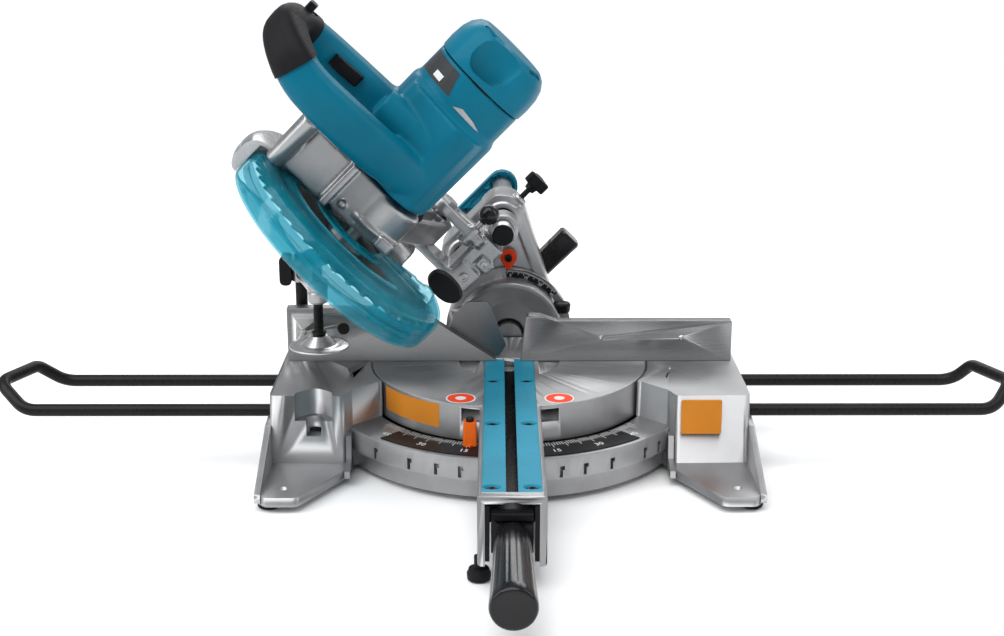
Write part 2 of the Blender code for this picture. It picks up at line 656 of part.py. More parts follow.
HANDLE = [
    (84, -142, 205), (87, -158, 250), (89, -176, 296), (87, -187, 338), (92, -184, 364),
    (104, -165, 383), (113, -141, 381), (115, -112, 352), (115, -94, 312), (113, -84, 276),
]
handle_path = smooth_path(HANDLE, 3)
handle = tube(handle_path, 14, sides=3)
part("handle_frame", handle, CHOP, TEAL)
sleeve_path = handle_path[9:21]
sleeve = cut(tube(sleeve_path, 17.2, sides=3), tube(handle_path, 14.8, sides=3))
BUTTON_U, BUTTON_V, BUTTON_W = 113, -134, 376
seat = rod((BUTTON_U + 11, BUTTON_V, BUTTON_W), (BUTTON_U + 31, BUTTON_V, BUTTON_W), 9, sides=16)
part("handle_grip", cut(sleeve, seat), CHOP, RUBBER)
button_at = (BUTTON_U, BUTTON_V - CHOP_V, BUTTON_W - CHOP_W)
BUTTON = axis_frame("lock_off_axis", button_at, parent=CHOP)
part("lock_off_button", rod((19, 0, 0), (27, 0, 0), 8, sides=16), BUTTON, BLACK)
TRIGGER = axis_frame("trigger_axis", (115, -123.5 - CHOP_V, 334 - CHOP_W), parent=CHOP)
trigger = plate([(0, 0), (14.8, -32.8), (3.5, -32), (-6, -10), (-5.5, -2.5)], -6, 6, across="x")
part("trigger", trigger, TRIGGER, BLACK)
nozzle_side = [(-18, 106), (-4, 100), (8, 112), (18, 126), (15, 135), (-12, 145), (-24, 131)]
nozzle = plate(nozzle_side, 4, 30, across="x")
mouth = plate([(-14, 90), (-6, 90), (11, 124), (-10, 136), (-20, 128)], 7, 27, across="x")
part("dust_nozzle", cut(nozzle, mouth), CHOP, RUBBER)
bearing = turned([(7.5, 34), (15, 34), (15, 26.4), (7.5, 26.4)], "X", blade_at, steps=24)
part("spindle_bearing", bearing, CHOP, STEEL)
bearing = turned([(5.4, 221), (12, 221), (12, 213), (5.4, 213)], "X", motor_at, steps=24)
part("motor_bearing", bearing, CHOP, STEEL)

# ---- blade, spindle and gear --------------------------------------------------------------
BLADE = axis_frame("blade_axis", (0, BLADE_V - CHOP_V, BLADE_W - CHOP_W), parent=CHOP)
blade = toothed((0, 0), BLADE_R, BLADE_R - 5, 40, -BLADE_HALF, BLADE_HALF)
blade = cut(blade, rod((-5, 0, 0), (5, 0, 0), 8.3, sides=24))
part("saw_blade", blade, BLADE, STEEL)
spindle = join(
    rod((-10, 0, 0), (50, 0, 0), 7),
    toothed((0, 0), 22.4, 20.6, 32, 38, 48),
    rod((BLADE_HALF + GAP, 0, 0), (7, 0, 0), 24),
)
part("spindle_and_gear", spindle, BLADE, STEEL)
flange_face = -BLADE_HALF - GAP
flange = turned([(7.3, flange_face), (24, flange_face), (24, -5), (7.3, -5)], "X", steps=24)
part("outer_flange", flange, BLADE, STEEL)
bolt = rod((-17, 0, 0), (-10.3, 0, 0), 9, sides=6)
part("blade_bolt", join(bolt, rod((-12, 0, 0), (-10.3, 0, 0), 12, sides=20)), BLADE, BLACK)

MOTOR = axis_frame("motor_axis", (0, MOTOR_V - CHOP_V, MOTOR_W - CHOP_W), parent=CHOP)
armature = join(
    rod((36, 0, 0), (222, 0, 0), 5, sides=16),
    rod((115, 0, 0), (161, 0, 0), 30, sides=24),
    rod((175, 0, 0), (192, 0, 0), 14, sides=16),
    toothed((0, 0), 5.6, 5.05, 8, 36, 50),
)
part("motor_armature", armature, MOTOR, COPPER)
fan = join(toothed((0, 0), 38, 26, 14, 92, 98), rod((90, 0, 0), (98, 0, 0), 20))
fan = cut(fan, rod((80, 0, 0), (110, 0, 0), 5.3, sides=16))
part("cooling_fan", fan, MOTOR, BLACK)

for tool in list(CUTTERS.objects):
    bpy.data.objects.remove(tool)
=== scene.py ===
"""Looks of a sliding compound mitre saw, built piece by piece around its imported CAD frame.

Sizes are millimetres. Pieces of the base are written in the saw's frame: x to the right, y to the
rear from the turntable's axis, z up from the table. Pieces of the head are written in the head's
own upright frame: u to the right of the blade, v to the rear and w up from the table.
"""
import json
import math

import bmesh
import bpy
from mathutils import Matrix, Vector


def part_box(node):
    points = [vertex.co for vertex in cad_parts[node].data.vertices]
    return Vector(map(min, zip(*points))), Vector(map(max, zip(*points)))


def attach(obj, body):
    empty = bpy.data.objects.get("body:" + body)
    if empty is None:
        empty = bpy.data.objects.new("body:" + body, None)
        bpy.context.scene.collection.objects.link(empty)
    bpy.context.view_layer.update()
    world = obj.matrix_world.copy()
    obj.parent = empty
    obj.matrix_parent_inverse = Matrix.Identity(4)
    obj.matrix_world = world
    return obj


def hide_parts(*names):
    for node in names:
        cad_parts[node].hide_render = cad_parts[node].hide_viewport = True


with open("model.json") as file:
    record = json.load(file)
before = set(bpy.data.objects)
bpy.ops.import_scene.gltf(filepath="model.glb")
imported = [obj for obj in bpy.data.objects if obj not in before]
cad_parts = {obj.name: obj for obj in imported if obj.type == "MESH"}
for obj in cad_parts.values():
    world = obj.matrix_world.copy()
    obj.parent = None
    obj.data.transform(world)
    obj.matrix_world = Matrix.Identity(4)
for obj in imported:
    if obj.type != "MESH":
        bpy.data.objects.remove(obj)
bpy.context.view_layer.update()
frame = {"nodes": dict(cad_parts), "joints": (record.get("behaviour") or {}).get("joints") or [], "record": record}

# ---- the two frames of the saw, the studio and the camera ----------------------------------
# The turntable's axis meets the table at the mitre joint, and the head hangs on the bevel axis
# through that same point, so both frames follow from the joints.
MM = 0.001
joint = {j["name"]: j for j in frame["joints"]}
centre = Vector(joint["mitre_swing"]["pos_m"])
across_head = Vector(joint["chop"]["axis"])
SAW = Matrix.Translation(centre)
HEAD = SAW @ Matrix.Rotation(-math.atan2(across_head.z, across_head.x), 4, "Y")


def aim(obj, at, target):
    obj.location = Vector(at)
    obj.rotation_euler = (Vector(target) - Vector(at)).to_track_quat("-Z", "Y").to_euler()


scene = bpy.context.scene
scene.view_settings.view_transform = "Standard"
lens = bpy.data.cameras.new("camera")
lens.lens, lens.sensor_width, lens.clip_end = 55.44, 36, 30
camera = bpy.data.objects.new("camera", lens)
camera.location = centre + Vector((-11.7, -1473.7, 482.3)) * MM
camera.rotation_euler = (math.radians(90 - 16.53), 0, -0.00308)
scene.collection.objects.link(camera)
scene.camera = camera


def softbox(name, at, target, size, power):
    light = bpy.data.lights.new(name, "AREA")
    light.shape, light.size, light.size_y = "RECTANGLE", *size
    light.energy = power
    obj = bpy.data.objects.new(name, light)
    aim(obj, at, target)
    scene.collection.objects.link(obj)


overhead = bpy.data.lights.new("overhead_silk", "SUN")
overhead.energy, overhead.angle = 2.6, 1.1
overhead_at = bpy.data.objects.new("overhead_silk", overhead)
aim(overhead_at, (-0.5, -0.9, 2.2), (0, 0, 0))
scene.collection.objects.link(overhead_at)
softbox("left_softbox", (-1.6, -0.5, 1.0), (0, 0, 0.2), (0.5, 1.5), 10)
softbox("right_softbox", (1.7, -0.2, 1.2), (0, 0, 0.2), (0.5, 1.5), 8)
softbox("rear_softbox", (0.3, 1.7, 1.3), (0, 0, 0.2), (2.0, 0.6), 14)
world = bpy.data.worlds.new("studio")
world.use_nodes = True
world.node_tree.nodes["Background"].inputs["Color"].default_value = (0.93, 0.96, 1, 1)
world.node_tree.nodes["Background"].inputs["Strength"].default_value = 0.42
scene.world = world

# ---- floor ---------------------------------------------------------------------------------
# A sheet of pale matt board under the saw. It isn't part of the object.
SOCKETS = {"ior_level": "Specular IOR Level", "ior": "IOR"}


class Value:
    """One shader socket. Arithmetic on it adds the Math nodes that the expression needs."""

    def __init__(self, look, socket):
        self.look, self.socket = look, socket

    def math(self, operation, first, second):
        return self.look.node("ShaderNodeMath", {"operation": operation}, {0: first, 1: second})

    def __add__(self, other):
        return self.math("ADD", self, other)

    def __radd__(self, other):
        return self.math("ADD", other, self)

    def __mul__(self, other):
        return self.math("MULTIPLY", self, other)

    def __rmul__(self, other):
        return self.math("MULTIPLY", other, self)


class Look:
    """A material under construction around one Principled shader."""

    def __init__(self, name, **fixed):
        self.material = bpy.data.materials.new(name)
        self.material.use_nodes = True
        self.tree = self.material.node_tree
        self.shader = self.tree.nodes["Principled BSDF"]
        self.set(**fixed)
        self.place = self.node("ShaderNodeTexCoord", out="Object")

    def set(self, **sockets):
        for key, value in sockets.items():
            self.plug(self.shader.inputs[SOCKETS.get(key, key.replace("_", " ").title())], value)

    def plug(self, socket, value):
        if isinstance(value, Value):
            self.tree.links.new(value.socket, socket)
        elif isinstance(value, tuple) and len(value) == 3 and socket.type == "RGBA":
            socket.default_value = (*value, 1)
        else:
            socket.default_value = value

    def node(self, kind, settings=None, inputs=None, out=0):
        node = self.tree.nodes.new(kind)
        for key, value in (settings or {}).items():
            if key == "stops":
                ramp = node.color_ramp
                for k, (at, colour) in enumerate(value):
                    stop = ramp.elements[k] if k < 2 else ramp.elements.new(at)
                    stop.position, stop.color = at, (*colour, 1)
            else:
                setattr(node, key, value)
        for key, value in (inputs or {}).items():
            self.plug(node.inputs[key], value)
        return Value(self, node.outputs[out])

    def noise(self, scale, stretch=(1, 1, 1), detail=3.0, rough=0.5):
        at = self.node("ShaderNodeMapping", None, {"Vector": self.place, "Scale": stretch})
        return self.node(
            "ShaderNodeTexNoise", None, {"Vector": at, "Scale": scale, "Detail": detail, "Roughness": rough}
        )

    def ramp(self, value, *stops):
        return self.node("ShaderNodeValToRGB", {"stops": stops}, {"Fac": value})

    def span(self, value, low, high, start=0.0, end=1.0):
        """The value's range from low to high, moved to start to end."""
        return self.node(
            "ShaderNodeMapRange",
            None,
            {"Value": value, "From Min": low, "From Max": high, "To Min": start, "To Max": end},
        )

    def mix(self, factor, first, second):
        return self.node(
            "ShaderNodeMix", {"data_type": "RGBA"}, {0: factor, 6: first, 7: second}, out=2
        )

    def bump(self, height, depth, strength=0.5):
        """Height is 0 to 1, depth in metres."""
        self.set(
            normal=self.node(
                "ShaderNodeBump", None, {"Height": height, "Distance": depth, "Strength": strength}
            )
        )


floor_look = Look("studio_floor", roughness=0.7)
floor_look.set(
    base_color=floor_look.ramp(floor_look.noise(2), (0.3, (0.93, 0.93, 0.93)), (0.7, (0.95, 0.95, 0.95)))
)
floor = bpy.data.meshes.new("floor")
floor.from_pydata([(-6, -4, 0), (6, -4, 0), (6, 8, 0), (-6, 8, 0)], [], [(0, 1, 2, 3)])
floor.materials.append(floor_look.material)
floor = bpy.data.objects.new("floor", floor)
floor.location.z = -0.5 * MM
scene.collection.objects.link(floor)

# ---- base casting --------------------------------------------------------------------------
# The fixed base is one die casting in aluminium: two side tables with open feet, joined by the
# ring that carries the mitre scale. The tops are machined, the rest is left as cast.
TABLE_TOP, BLOCK_FOOT = 0, -76
BLOCK_SIDE, FOOT_SIDE = 226, 231
BAR_ROWS, BAR_Z, BAR_HOLE = (-74, 14), -25, 6.5
TABLE_RADIUS, ROOM_RADIUS = 136, 138.2
PIN_HOLE, POST_HOLE = 8.3, 6.4
POST = (-209, 28)


def filleted(corners, steps=5):
    """An outline with each corner (a, b, radius) rounded."""
    points = []
    for k, (a, b, radius) in enumerate(corners):
        here = Vector((a, b))
        back = Vector(corners[k - 1][:2]) - here
        on = Vector(corners[(k + 1) % len(corners)][:2]) - here
        half = back.angle(on) / 2
        reach = min(radius / math.tan(half), back.length * 0.48, on.length * 0.48) if radius else 0
        if reach < 0.05:
            points.append((a, b))
            continue
        start, end = here + back.normalized() * reach, here + on.normalized() * reach
        for n in range(steps + 1):
            t = n / steps
            points.append(tuple(start * (1 - t) ** 2 + here * 2 * t * (1 - t) + end * t * t))
    return points


def loft(rings, caps=True):
    """A skin over rings of points, closed around each ring."""
    mesh = bmesh.new()
    rows = [[mesh.verts.new(p) for p in ring] for ring in rings]
    for first, second in zip(rows, rows[1:] + (rows[:1] if not caps else [])):
        for i in range(len(first)):
            mesh.faces.new((first[i - 1], first[i], second[i], second[i - 1]))
    if caps:
        mesh.faces.new(rows[0])
        mesh.faces.new(rows[-1][::-1])
    bmesh.ops.remove_doubles(mesh, verts=mesh.verts, dist=1e-5)
    bmesh.ops.recalc_face_normals(mesh, faces=mesh.faces)
    made = bpy.data.meshes.new("shape")
    mesh.to_mesh(made)
    mesh.free()
    return made


def slab(outline, axis, low, high, grow=0.0):
    """An outline in the two other axes, from low to high along axis; grow widens its low end."""
    k = "xyz".index(axis)
    middle = sum((Vector(p) for p in outline), Vector((0, 0))) / len(outline)

    def ring(at, wider):
        out = []
        for p in outline:
            away = Vector(p) - middle
            point = list(middle + away * (1 + wider / max(away.length, 1)))
            point.insert(k, at)
            out.append(point)
        return out

    return loft([ring(low, grow), ring(high, 0)])


def box(low, high):
    (a, b, c), (d, e, f) = low, high
    return slab([(a, b), (d, b), (d, e), (a, e)], "z", c, f)


def turned(profile, axis="z", at=(0, 0, 0), steps=64, ring=False):
    """A lathe shape from (along, radius) pairs; a ring's profile is closed on itself."""
    k = "xyz".index(axis)
    rings = []
    for along, radius in profile:
        circle = []
        for n in range(steps):
            a = 2 * math.pi * n / steps
            p = [max(radius, 1e-6) * math.cos(a), max(radius, 1e-6) * math.sin(a)]
            p.insert(k, along)
            circle.append(Vector(p) + Vector(at))
        rings.append(circle)
    return loft(rings, caps=not ring)


def pointing(at, direction):
    """A place whose z axis lies along a direction."""
    return Matrix.Translation(at) @ Vector(direction).to_track_quat("Z", "Y").to_matrix().to_4x4()


def spun(degrees, axis="Z"):
    return Matrix.Rotation(math.radians(degrees), 4, axis)


def rod(start, end, radius, end_radius=None, steps=32, edge=0.0):
    """A round bar between two points, with its end edges eased."""
    start, end = Vector(start), Vector(end)
    length = (end - start).length
    last = radius if end_radius is None else end_radius
    profile = [(0, radius - edge), (edge, radius), (length - edge, last), (length, last - edge)]
    if not edge:
        profile = [(0, radius), (length, last)]
    mesh = turned(profile, steps=steps)
    mesh.transform(pointing(start, end - start))
    return mesh


def mirrored(mesh):
    copy = mesh.copy()
    copy.transform(Matrix.Scale(-1, 4, (1, 0, 0)))
    copy.flip_normals()
    return copy


def worked(mesh, *steps):
    """The mesh after a list of (modifier type, settings)."""
    obj = bpy.data.objects.new("work", mesh)
    scene.collection.objects.link(obj)
    for kind, settings in steps:
        modifier = obj.modifiers.new(kind, kind)
        for key, value in settings.items():
            setattr(modifier, key, value)
    result = bpy.data.meshes.new_from_object(obj.evaluated_get(bpy.context.evaluated_depsgraph_get()))
    bpy.data.objects.remove(obj)
    return result


def carved(mesh, add=(), cut=()):
    """The mesh with others joined on, then others cut away."""
    tools = []
    steps = []
    for operation, others in (("UNION", add), ("DIFFERENCE", cut)):
        for other in others:
            tool = bpy.data.objects.new("tool", other)
            scene.collection.objects.link(tool)
            tools.append(tool)
            steps.append(("BOOLEAN", {"operation": operation, "object": tool, "solver": "MANIFOLD"}))
    result = worked(mesh, *steps)
    for tool in tools:
        bpy.data.objects.remove(tool)
    return result


def eased(mesh, width, angle=32, segments=2):
    """Edges sharper than the angle get a small round."""
    bevel = {
        "width": width, "segments": segments, "limit_method": "ANGLE", "angle_limit": math.radians(angle),
        "harden_normals": False, "use_clamp_overlap": True, "miter_outer": "MITER_ARC",
    }
    mesh.shade_smooth()
    return worked(mesh, ("BEVEL", bevel), ("WEIGHTED_NORMAL", {"keep_sharp": True, "weight": 80}))


def fitted(name, mesh, where, body, look, slot, *replaced, sharp=None):
    """Puts a finished mesh in place on its body with its material, hiding the nodes it replaces; its slot is not
    used.
    """
    mesh.transform(where @ Matrix.Scale(MM, 4))
    mesh.materials.clear()
    mesh.materials.append(look)
    if sharp:
        mesh.shade_smooth()
        mesh.set_sharp_from_angle(angle=math.radians(sharp))
    obj = bpy.data.objects.new(name, mesh)
    scene.collection.objects.link(obj)
    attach(obj, body)
    if replaced:
        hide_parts(*replaced)
    return obj


def cast_look(name, tone=0.33, gloss=0.4):
    """Die-cast aluminium, blasted and lacquered: fine grain, cloudy tone, bright worn edges."""
    look = Look(name, metallic=0.85)
    grain = look.noise(1400, detail=2)
    cloud = look.noise(24, detail=4)
    edge = look.span(look.node("ShaderNodeNewGeometry", out="Pointiness"), 0.5, 0.56)
    low, high = tone * 0.8, tone * 1.2
    body = look.ramp(
        cloud * 0.8 + grain * 0.2, (0.3, (low, low, low * 1.02)), (0.7, (high, high, high * 1.01))
    )
    look.set(base_color=look.mix(edge * 0.3, body, (0.5, 0.5, 0.51)))
    look.set(roughness=look.span(grain + cloud, 0.6, 1.4, gloss - 0.07, gloss + 0.1))
    look.bump(grain * 0.6 + look.noise(260, detail=2) * 0.4, 0.0001, 0.35)
    return look.material


CAST = cast_look("cast_aluminium")

side_table = filleted(
    [
        (BLOCK_SIDE, 42, 3), (BLOCK_SIDE, -104, 7), (157, -105, 6), (150, -88, 5), (127, -64, 5),
        (112, -60, 2), (112, 42, 1),
    ]
)
block = slab(side_table, "z", BLOCK_FOOT, TABLE_TOP, grow=2.5)
foot_outline = filleted(
    [
        (FOOT_SIDE, 20, 2), (FOOT_SIDE, -178, 8), (221, -190, 8), (192, -190, 9), (152, -118, 16),
        (152, 20, 2),
    ]
)
foot_plate = slab(foot_outline, "z", BLOCK_FOOT, -67)
rear_foot = slab(
    filleted(
        [(FOOT_SIDE, -30, 2), (FOOT_SIDE, 88, 9), (222, 97, 8), (184, 97, 10), (166, 40, 12), (166, -30, 2)]
    ),
    "z", BLOCK_FOOT, -67,
)
curb_line = filleted([(-60, -74, 0), (-60, -26, 3), (-104, -30, 8), (-186, -66, 3), (-186, -74, 0)])
curb = slab(curb_line, "x", 225.5, FOOT_SIDE)
inner_rib = slab([(-98, -74), (-98, -38), (-105, -40), (-108, -62), (-128, -67), (-128, -74)], "x", 150, 155)
rear_curb = slab([(36, -74), (36, -26), (48, -30), (92, -66), (92, -74)], "x", 225.5, FOOT_SIDE)
halves = [block, foot_plate, rear_foot, curb, inner_rib, rear_curb]

ring_profile = filleted(
    [
        (-35, 178, 1.5), (-57, 178, 1.5), (-57, 172, 0.8), (-76, 170, 1), (-76, 0, 0), (-62, 0, 0),
        (-62, 139, 0), (-35, 139, 1),
    ],
    2,
)
notches = []
for angle in (-45, -31.6, -22.5, -15, 0, 15, 22.5, 31.6, 45, 52):
    slot_cut = slab(
        [(-1.6, -55), (1.6, -55), (1.6, -48), (3.4, -48), (3.4, -44), (-1.6, -44)], "y", -180, -172.5
    )
    slot_cut.transform(spun(angle))
    notches.append(slot_cut)
bores = [rod((s * 142.6, y, BAR_Z), (s * 240, y, BAR_Z), BAR_HOLE) for s in (-1, 1) for y in BAR_ROWS]
bench_holes = [rod((s * 207, y, -80), (s * 207, y, -60), 4.2) for s in (-1, 1) for y in (-168, 74)]
room = rod((0, 0, -61.9), (0, 0, 5), ROOM_RADIUS, steps=128)
post_hole = rod((*POST, -56), (*POST, 20), POST_HOLE)
pocket = slab(
    filleted([(-202.5, -120, 0), (-202.5, -96, 10), (-184.8, -80, 16), (-167, -96, 10), (-167, -120, 0)], 8),
    "z", -25, 5,
)
pocket_hole = rod((-184.8, -99.5, -40), (-184.8, -99.5, -20), 9.4)
top_grooves = [
    slab([(s * 151, -52), (s * 153, -52), (s * 160, -22), (s * 158, -22)], "z", -1.4, 2)
    for s in (-1, 1)
]
under = [
    slab(
        filleted(
            [(s * 218, 30, 6), (s * 218, -92, 6), (s * 168, -92, 6), (s * 152, -70, 6), (s * 152, 30, 6)]
        ),
        "z", -80, -36,
    )
    for s in (-1, 1)
]
base = carved(
    block,
    add=halves[1:] + [mirrored(h) for h in halves],
    cut=[room, post_hole, pocket, pocket_hole] + bores + bench_holes + top_grooves + under,
)
fitted("base_casting_skin", eased(base, 1.1, 30), SAW, "base", CAST, "cast", "base_casting")
ring = carved(
    turned(ring_profile, steps=160),
    cut=[rod((0, 0, -90), (0, 0, -50), PIN_HOLE), box((-200, 20, -58), (200, 200, -30))] + notches,
)
fitted("mitre_ring", ring, SAW, "base", CAST, "cast", "base_casting", sharp=35)

# ---- rubber feet ---------------------------------------------------------------------------
# The saw stands on four moulded rubber pads, screwed under the corners of the base. Each has a
# soft lower edge.
def moulded_look(name, colour, gloss=0.42, grain=900, depth=0.00006, coat=0.0):
    """Moulded plastic with a fine spark-eroded grain and a faint cloudiness."""
    look = Look(name, coat_roughness=0.2, ior_level=0.12)
    cloud = look.noise(14, detail=3)
    fine = look.noise(grain, detail=2)
    dark = tuple(c * 0.86 for c in colour)
    light = tuple(min(1, c * 1.12 + 0.002) for c in colour)
    look.set(base_color=look.ramp(cloud, (0.3, dark), (0.7, light)))
    look.set(roughness=look.span(fine, 0.3, 0.7, gloss - 0.06, gloss + 0.08), coat_weight=coat)
    look.bump(fine, depth, 0.4)
    return look.material


RUBBER = moulded_look("soft_black_rubber", (0.009, 0.009, 0.01), 0.55, 500, 0.0001)
for node, (x, y) in {
    "foot_front_left": (
        -1, -1
    ), "foot_front_right": (1, -1), "foot_rear_left": (-1, 1), "foot_rear_right": (1, 1)
}.items():
    low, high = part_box(node)
    middle = (Vector(low) + Vector(high)) / 2 / MM
    radius = (high[0] - low[0]) / 2 / MM
    pad = turned(
        [
            (0, radius - 2), (0.8, radius - 0.6), (2, radius), (5.7, radius)
        ], at=(middle.x, middle.y, low[2] / MM)
    )
    fitted(f"{node}_pad", pad, Matrix(), "base", RUBBER, "rubber", node, sharp=40)

# ---- mitre scale ---------------------------------------------------------------------------
# A black anodised strip riveted on the ring, with its degree lines and numbers printed white.
def marks(name, lines, where, body, slot):
    """Printed lines, each a thin quad of four corner points, joined in one mesh."""
    mesh = bmesh.new()
    for corners in lines:
        mesh.faces.new([mesh.verts.new(p) for p in corners])
    made = bpy.data.meshes.new(name)
    mesh.to_mesh(made)
    mesh.free()
    return fitted(name, made, where, body, INK, slot)


def lettered(text, size, place, thick):
    """A printed number as a flat mesh, placed by a matrix."""
    curve = bpy.data.curves.new("number", "FONT")
    curve.body, curve.size, curve.extrude, curve.resolution_u = text, size, thick, 2
    curve.align_x, curve.align_y = "CENTER", "CENTER"
    obj = bpy.data.objects.new("number", curve)
    scene.collection.objects.link(obj)
    mesh = bpy.data.meshes.new_from_object(obj.evaluated_get(bpy.context.evaluated_depsgraph_get()))
    bpy.data.objects.remove(obj)
    mesh.transform(place)
    return mesh


def gathered(meshes):
    mesh = bmesh.new()
    for part in meshes:
        mesh.from_mesh(part)
    made = bpy.data.meshes.new("gathered")
    mesh.to_mesh(made)
    mesh.free()
    return made


INK = moulded_look("white_print", (0.75, 0.75, 0.73), 0.5, 1500, 0.00001)
SCALE = moulded_look("black_scale", (0.01, 0.01, 0.011), 0.35, 900, 0.00002)
frame["nodes"]["mitre_scale"].data.materials.clear()
frame["nodes"]["mitre_scale"].data.materials.append(SCALE)
HALF_LINE = 0.3
lines = []
for degree in range(-52, 53):
    inner, outer = (146, 156) if degree % 5 == 0 else (143.4, 151)
    line = [(-HALF_LINE, -outer), (HALF_LINE, -outer), (HALF_LINE, -inner), (-HALF_LINE, -inner)]
    lines.append([spun(degree) @ Vector((x, y, -33.75)) for x, y in line])
marks("mitre_scale_lines", lines, SAW, "base", "black")
numbers = []
for degree in range(-45, 46, 15):
    numbers.append(lettered(str(abs(degree)), 9, spun(degree) @ Matrix.Translation((0, -164, -33.8)), 0.05))
fitted("mitre_scale_numbers", gathered(numbers), SAW, "base", INK, "black")


# ---- turntable, its arm and the kerf boards ------------------------------------------------
# The round table is cast, with a machined top and rim, and its arm is an open channel that runs
# out under the kerf boards. The drum at its back is the fixed half of the bevel joint.
rim = filleted(
    [(0, 0, 0), (0, TABLE_RADIUS, 1.6), (-36, TABLE_RADIUS, 1.2), (-36, 128, 0), (-58, 128, 0), (-58, 0, 0)],
    3,
)
table = turned(rim, steps=160)
arm_section = filleted([(-28, -61, 4), (-28, 0, 3.2), (28, 0, 3.2), (28, -61, 4)], 4)
arm = slab(arm_section, "y", -343, 20)
arm_rise = slab([(-186, -90), (-150, -34), (20, -34), (20, -90)], "x", -40, 40)
arm = carved(arm, cut=[arm_rise])
drum = turned([(100, 0), (100, 56), (118, 56), (118, 0)], "y", steps=96)
seat = slab(filleted([(-50, -34, 2), (-50, -4, 3), (50, -4, 3), (50, -34, 2)]), "y", 40, 118)
flange_outline = [(66.5 * math.cos(math.pi * k / 48), 66.5 * math.sin(math.pi * k / 48)) for k in range(49)]
flange = slab(flange_outline + [(-66.5, -4), (66.5, -4)], "y", 112, 118)
hollow = [
    box((-82, 118, -90), (82, 150, 20)),
    box((-24.6, -335, -3.3), (24.6, 6, 2)),
    box((-22, -350, -90), (22, 10, -7)),
    box((-22, -331, -30), (22, 10, 1)),
    turned([(-350, 20.5), (-332, 20.5)], "y", (0, 0, -26), 48),
    rod((0, 0, -64), (0, 0, -8.5), PIN_HOLE),
    rod((0, 80, 0), (0, 100, 0), 15),
]
pads = [
    slab([(s * 28.05, -150), (s * 45, -150), (s * 45, -124), (s * 28.05, -126)], "z", -16, -3.5)
    for s in (-1, 1)
]
step = carved(turned([(-0.9, 50), (1, 50.8)], steps=96), cut=[box((-29, -60, -2), (29, 60, 2))])
table = carved(table, add=[arm, drum, seat, flange], cut=hollow + pads + [step])
fitted("turntable_casting", eased(table, 0.7, 38), SAW, "turntable", CAST, "cast", "turntable")
bowl = filleted(
    [(99.9, 57.2, 0), (88, 57.2, 3), (87, 52, 4), (95, 34, 12), (94, 16, 3), (99.9, 15, 0)], 6
)
bowl = carved(turned(bowl, "y", steps=120, ring=True), cut=[box((-70, 60, -90), (70, 130, -0.6))])
fitted("bevel_drum_face", bowl, SAW, "turntable", CAST, "cast", sharp=50)
# A black disc just inside the drum's hole is painted shade: it stands in for the dark depth of the hole.
hole = carved(
    turned([(94.4, 0), (94.4, 15.6), (97, 15.6)], "y", steps=64), cut=[box((-30, 60, -30), (30, 130, -0.6))]
)
fitted("bevel_drum_hole_shade", hole, SAW, "turntable", RUBBER, "black", sharp=40)

# ---- kerf boards ---------------------------------------------------------------------------
# Two moulded strips close the arm's channel either side of the blade's slot. Each is held by
# countersunk screws in oval seats.
PAINT = moulded_look("black_paint", (0.01, 0.01, 0.01), 0.3, 300, 0.00004)
BOARD = moulded_look("kerf_board_blue", (0.012, 0.215, 0.32), 0.4)
SLOT_SIDE, BOARD_SIDE = 4.9, 24.3
BOARD_FRONT, BOARD_REAR = -334.7, 5.7
SCREW_X = 16.2


def oval(x, y, half_x, half_y, steps=28):
    turns = [2 * math.pi * k / steps for k in range(steps)]
    return [(x + half_x * math.cos(a), y + half_y * math.sin(a)) for a in turns]


for side, name in ((-1, "left"), (1, "right")):
    inner, outer = sorted((side * SLOT_SIDE, side * BOARD_SIDE))
    ends = ((inner, BOARD_FRONT), (outer, BOARD_FRONT), (outer, BOARD_REAR), (inner, BOARD_REAR))
    board = slab(filleted([(*corner, 0.6) for corner in ends]), "z", -3, -0.1)
    seats = []
    for y in (-324, -178, -60):
        narrow = oval(side * SCREW_X, y, 6.4, 4.4)
        wide = oval(side * SCREW_X, y, 7.8, 5.8)
        levels = ((-3.5, narrow), (-1.6, narrow), (0.2, wide))
        seats.append(loft([[(*p, z) for p in line] for z, line in levels]))
        head = turned(
            [(-2.9, 0), (-2.9, 2.2), (-1.7, 4.1), (-1.5, 4.1), (-1.4, 2.2), (-2.2, 2.0), (-2.2, 0)],
            at=(side * SCREW_X, y, 0), steps=24,
        )
        fitted(f"board_screw_{name}_{abs(y)}", head, SAW, "turntable", PAINT, "steel", sharp=40)
    fitted(
        f"kerf_board_{name}_plate", eased(carved(board, cut=seats), 0.35, 40), SAW, "turntable", BOARD,
        "board", f"kerf_board_{name}",
    )

# ---- channel lining ------------------------------------------------------------------------
# The channel's front is lined with black rails, which the mitre latch slides between, and a painted floor strip.
# The rails are partly a black liner and partly painted shade for the dark inner faces of the
# channel's walls.
# Black rails: partly a liner, partly painted shade on the walls' inner faces.
for side in (-1, 1):
    rail = slab(
        filleted(
            [
                (side * 18.2, -57, 0.6), (side * 21.9, -57, 0.6), (side * 21.9, -9, 0.6),
                (side * 18.2, -9, 0.6),
            ]
        ),
        "y", -342.2, -200,
    )
    fitted(f"channel_rail_{'left' if side < 0 else 'right'}", rail, SAW, "turntable", PAINT, "cast", sharp=35)
floor_strip = slab(filleted([(-21.9, -30, 1), (21.9, -30, 1), (21.9, -27, 1), (-21.9, -27, 1)]), "y", -326, 8)
fitted("kerf_channel_floor", floor_strip, SAW, "turntable", PAINT, "cast", sharp=35)

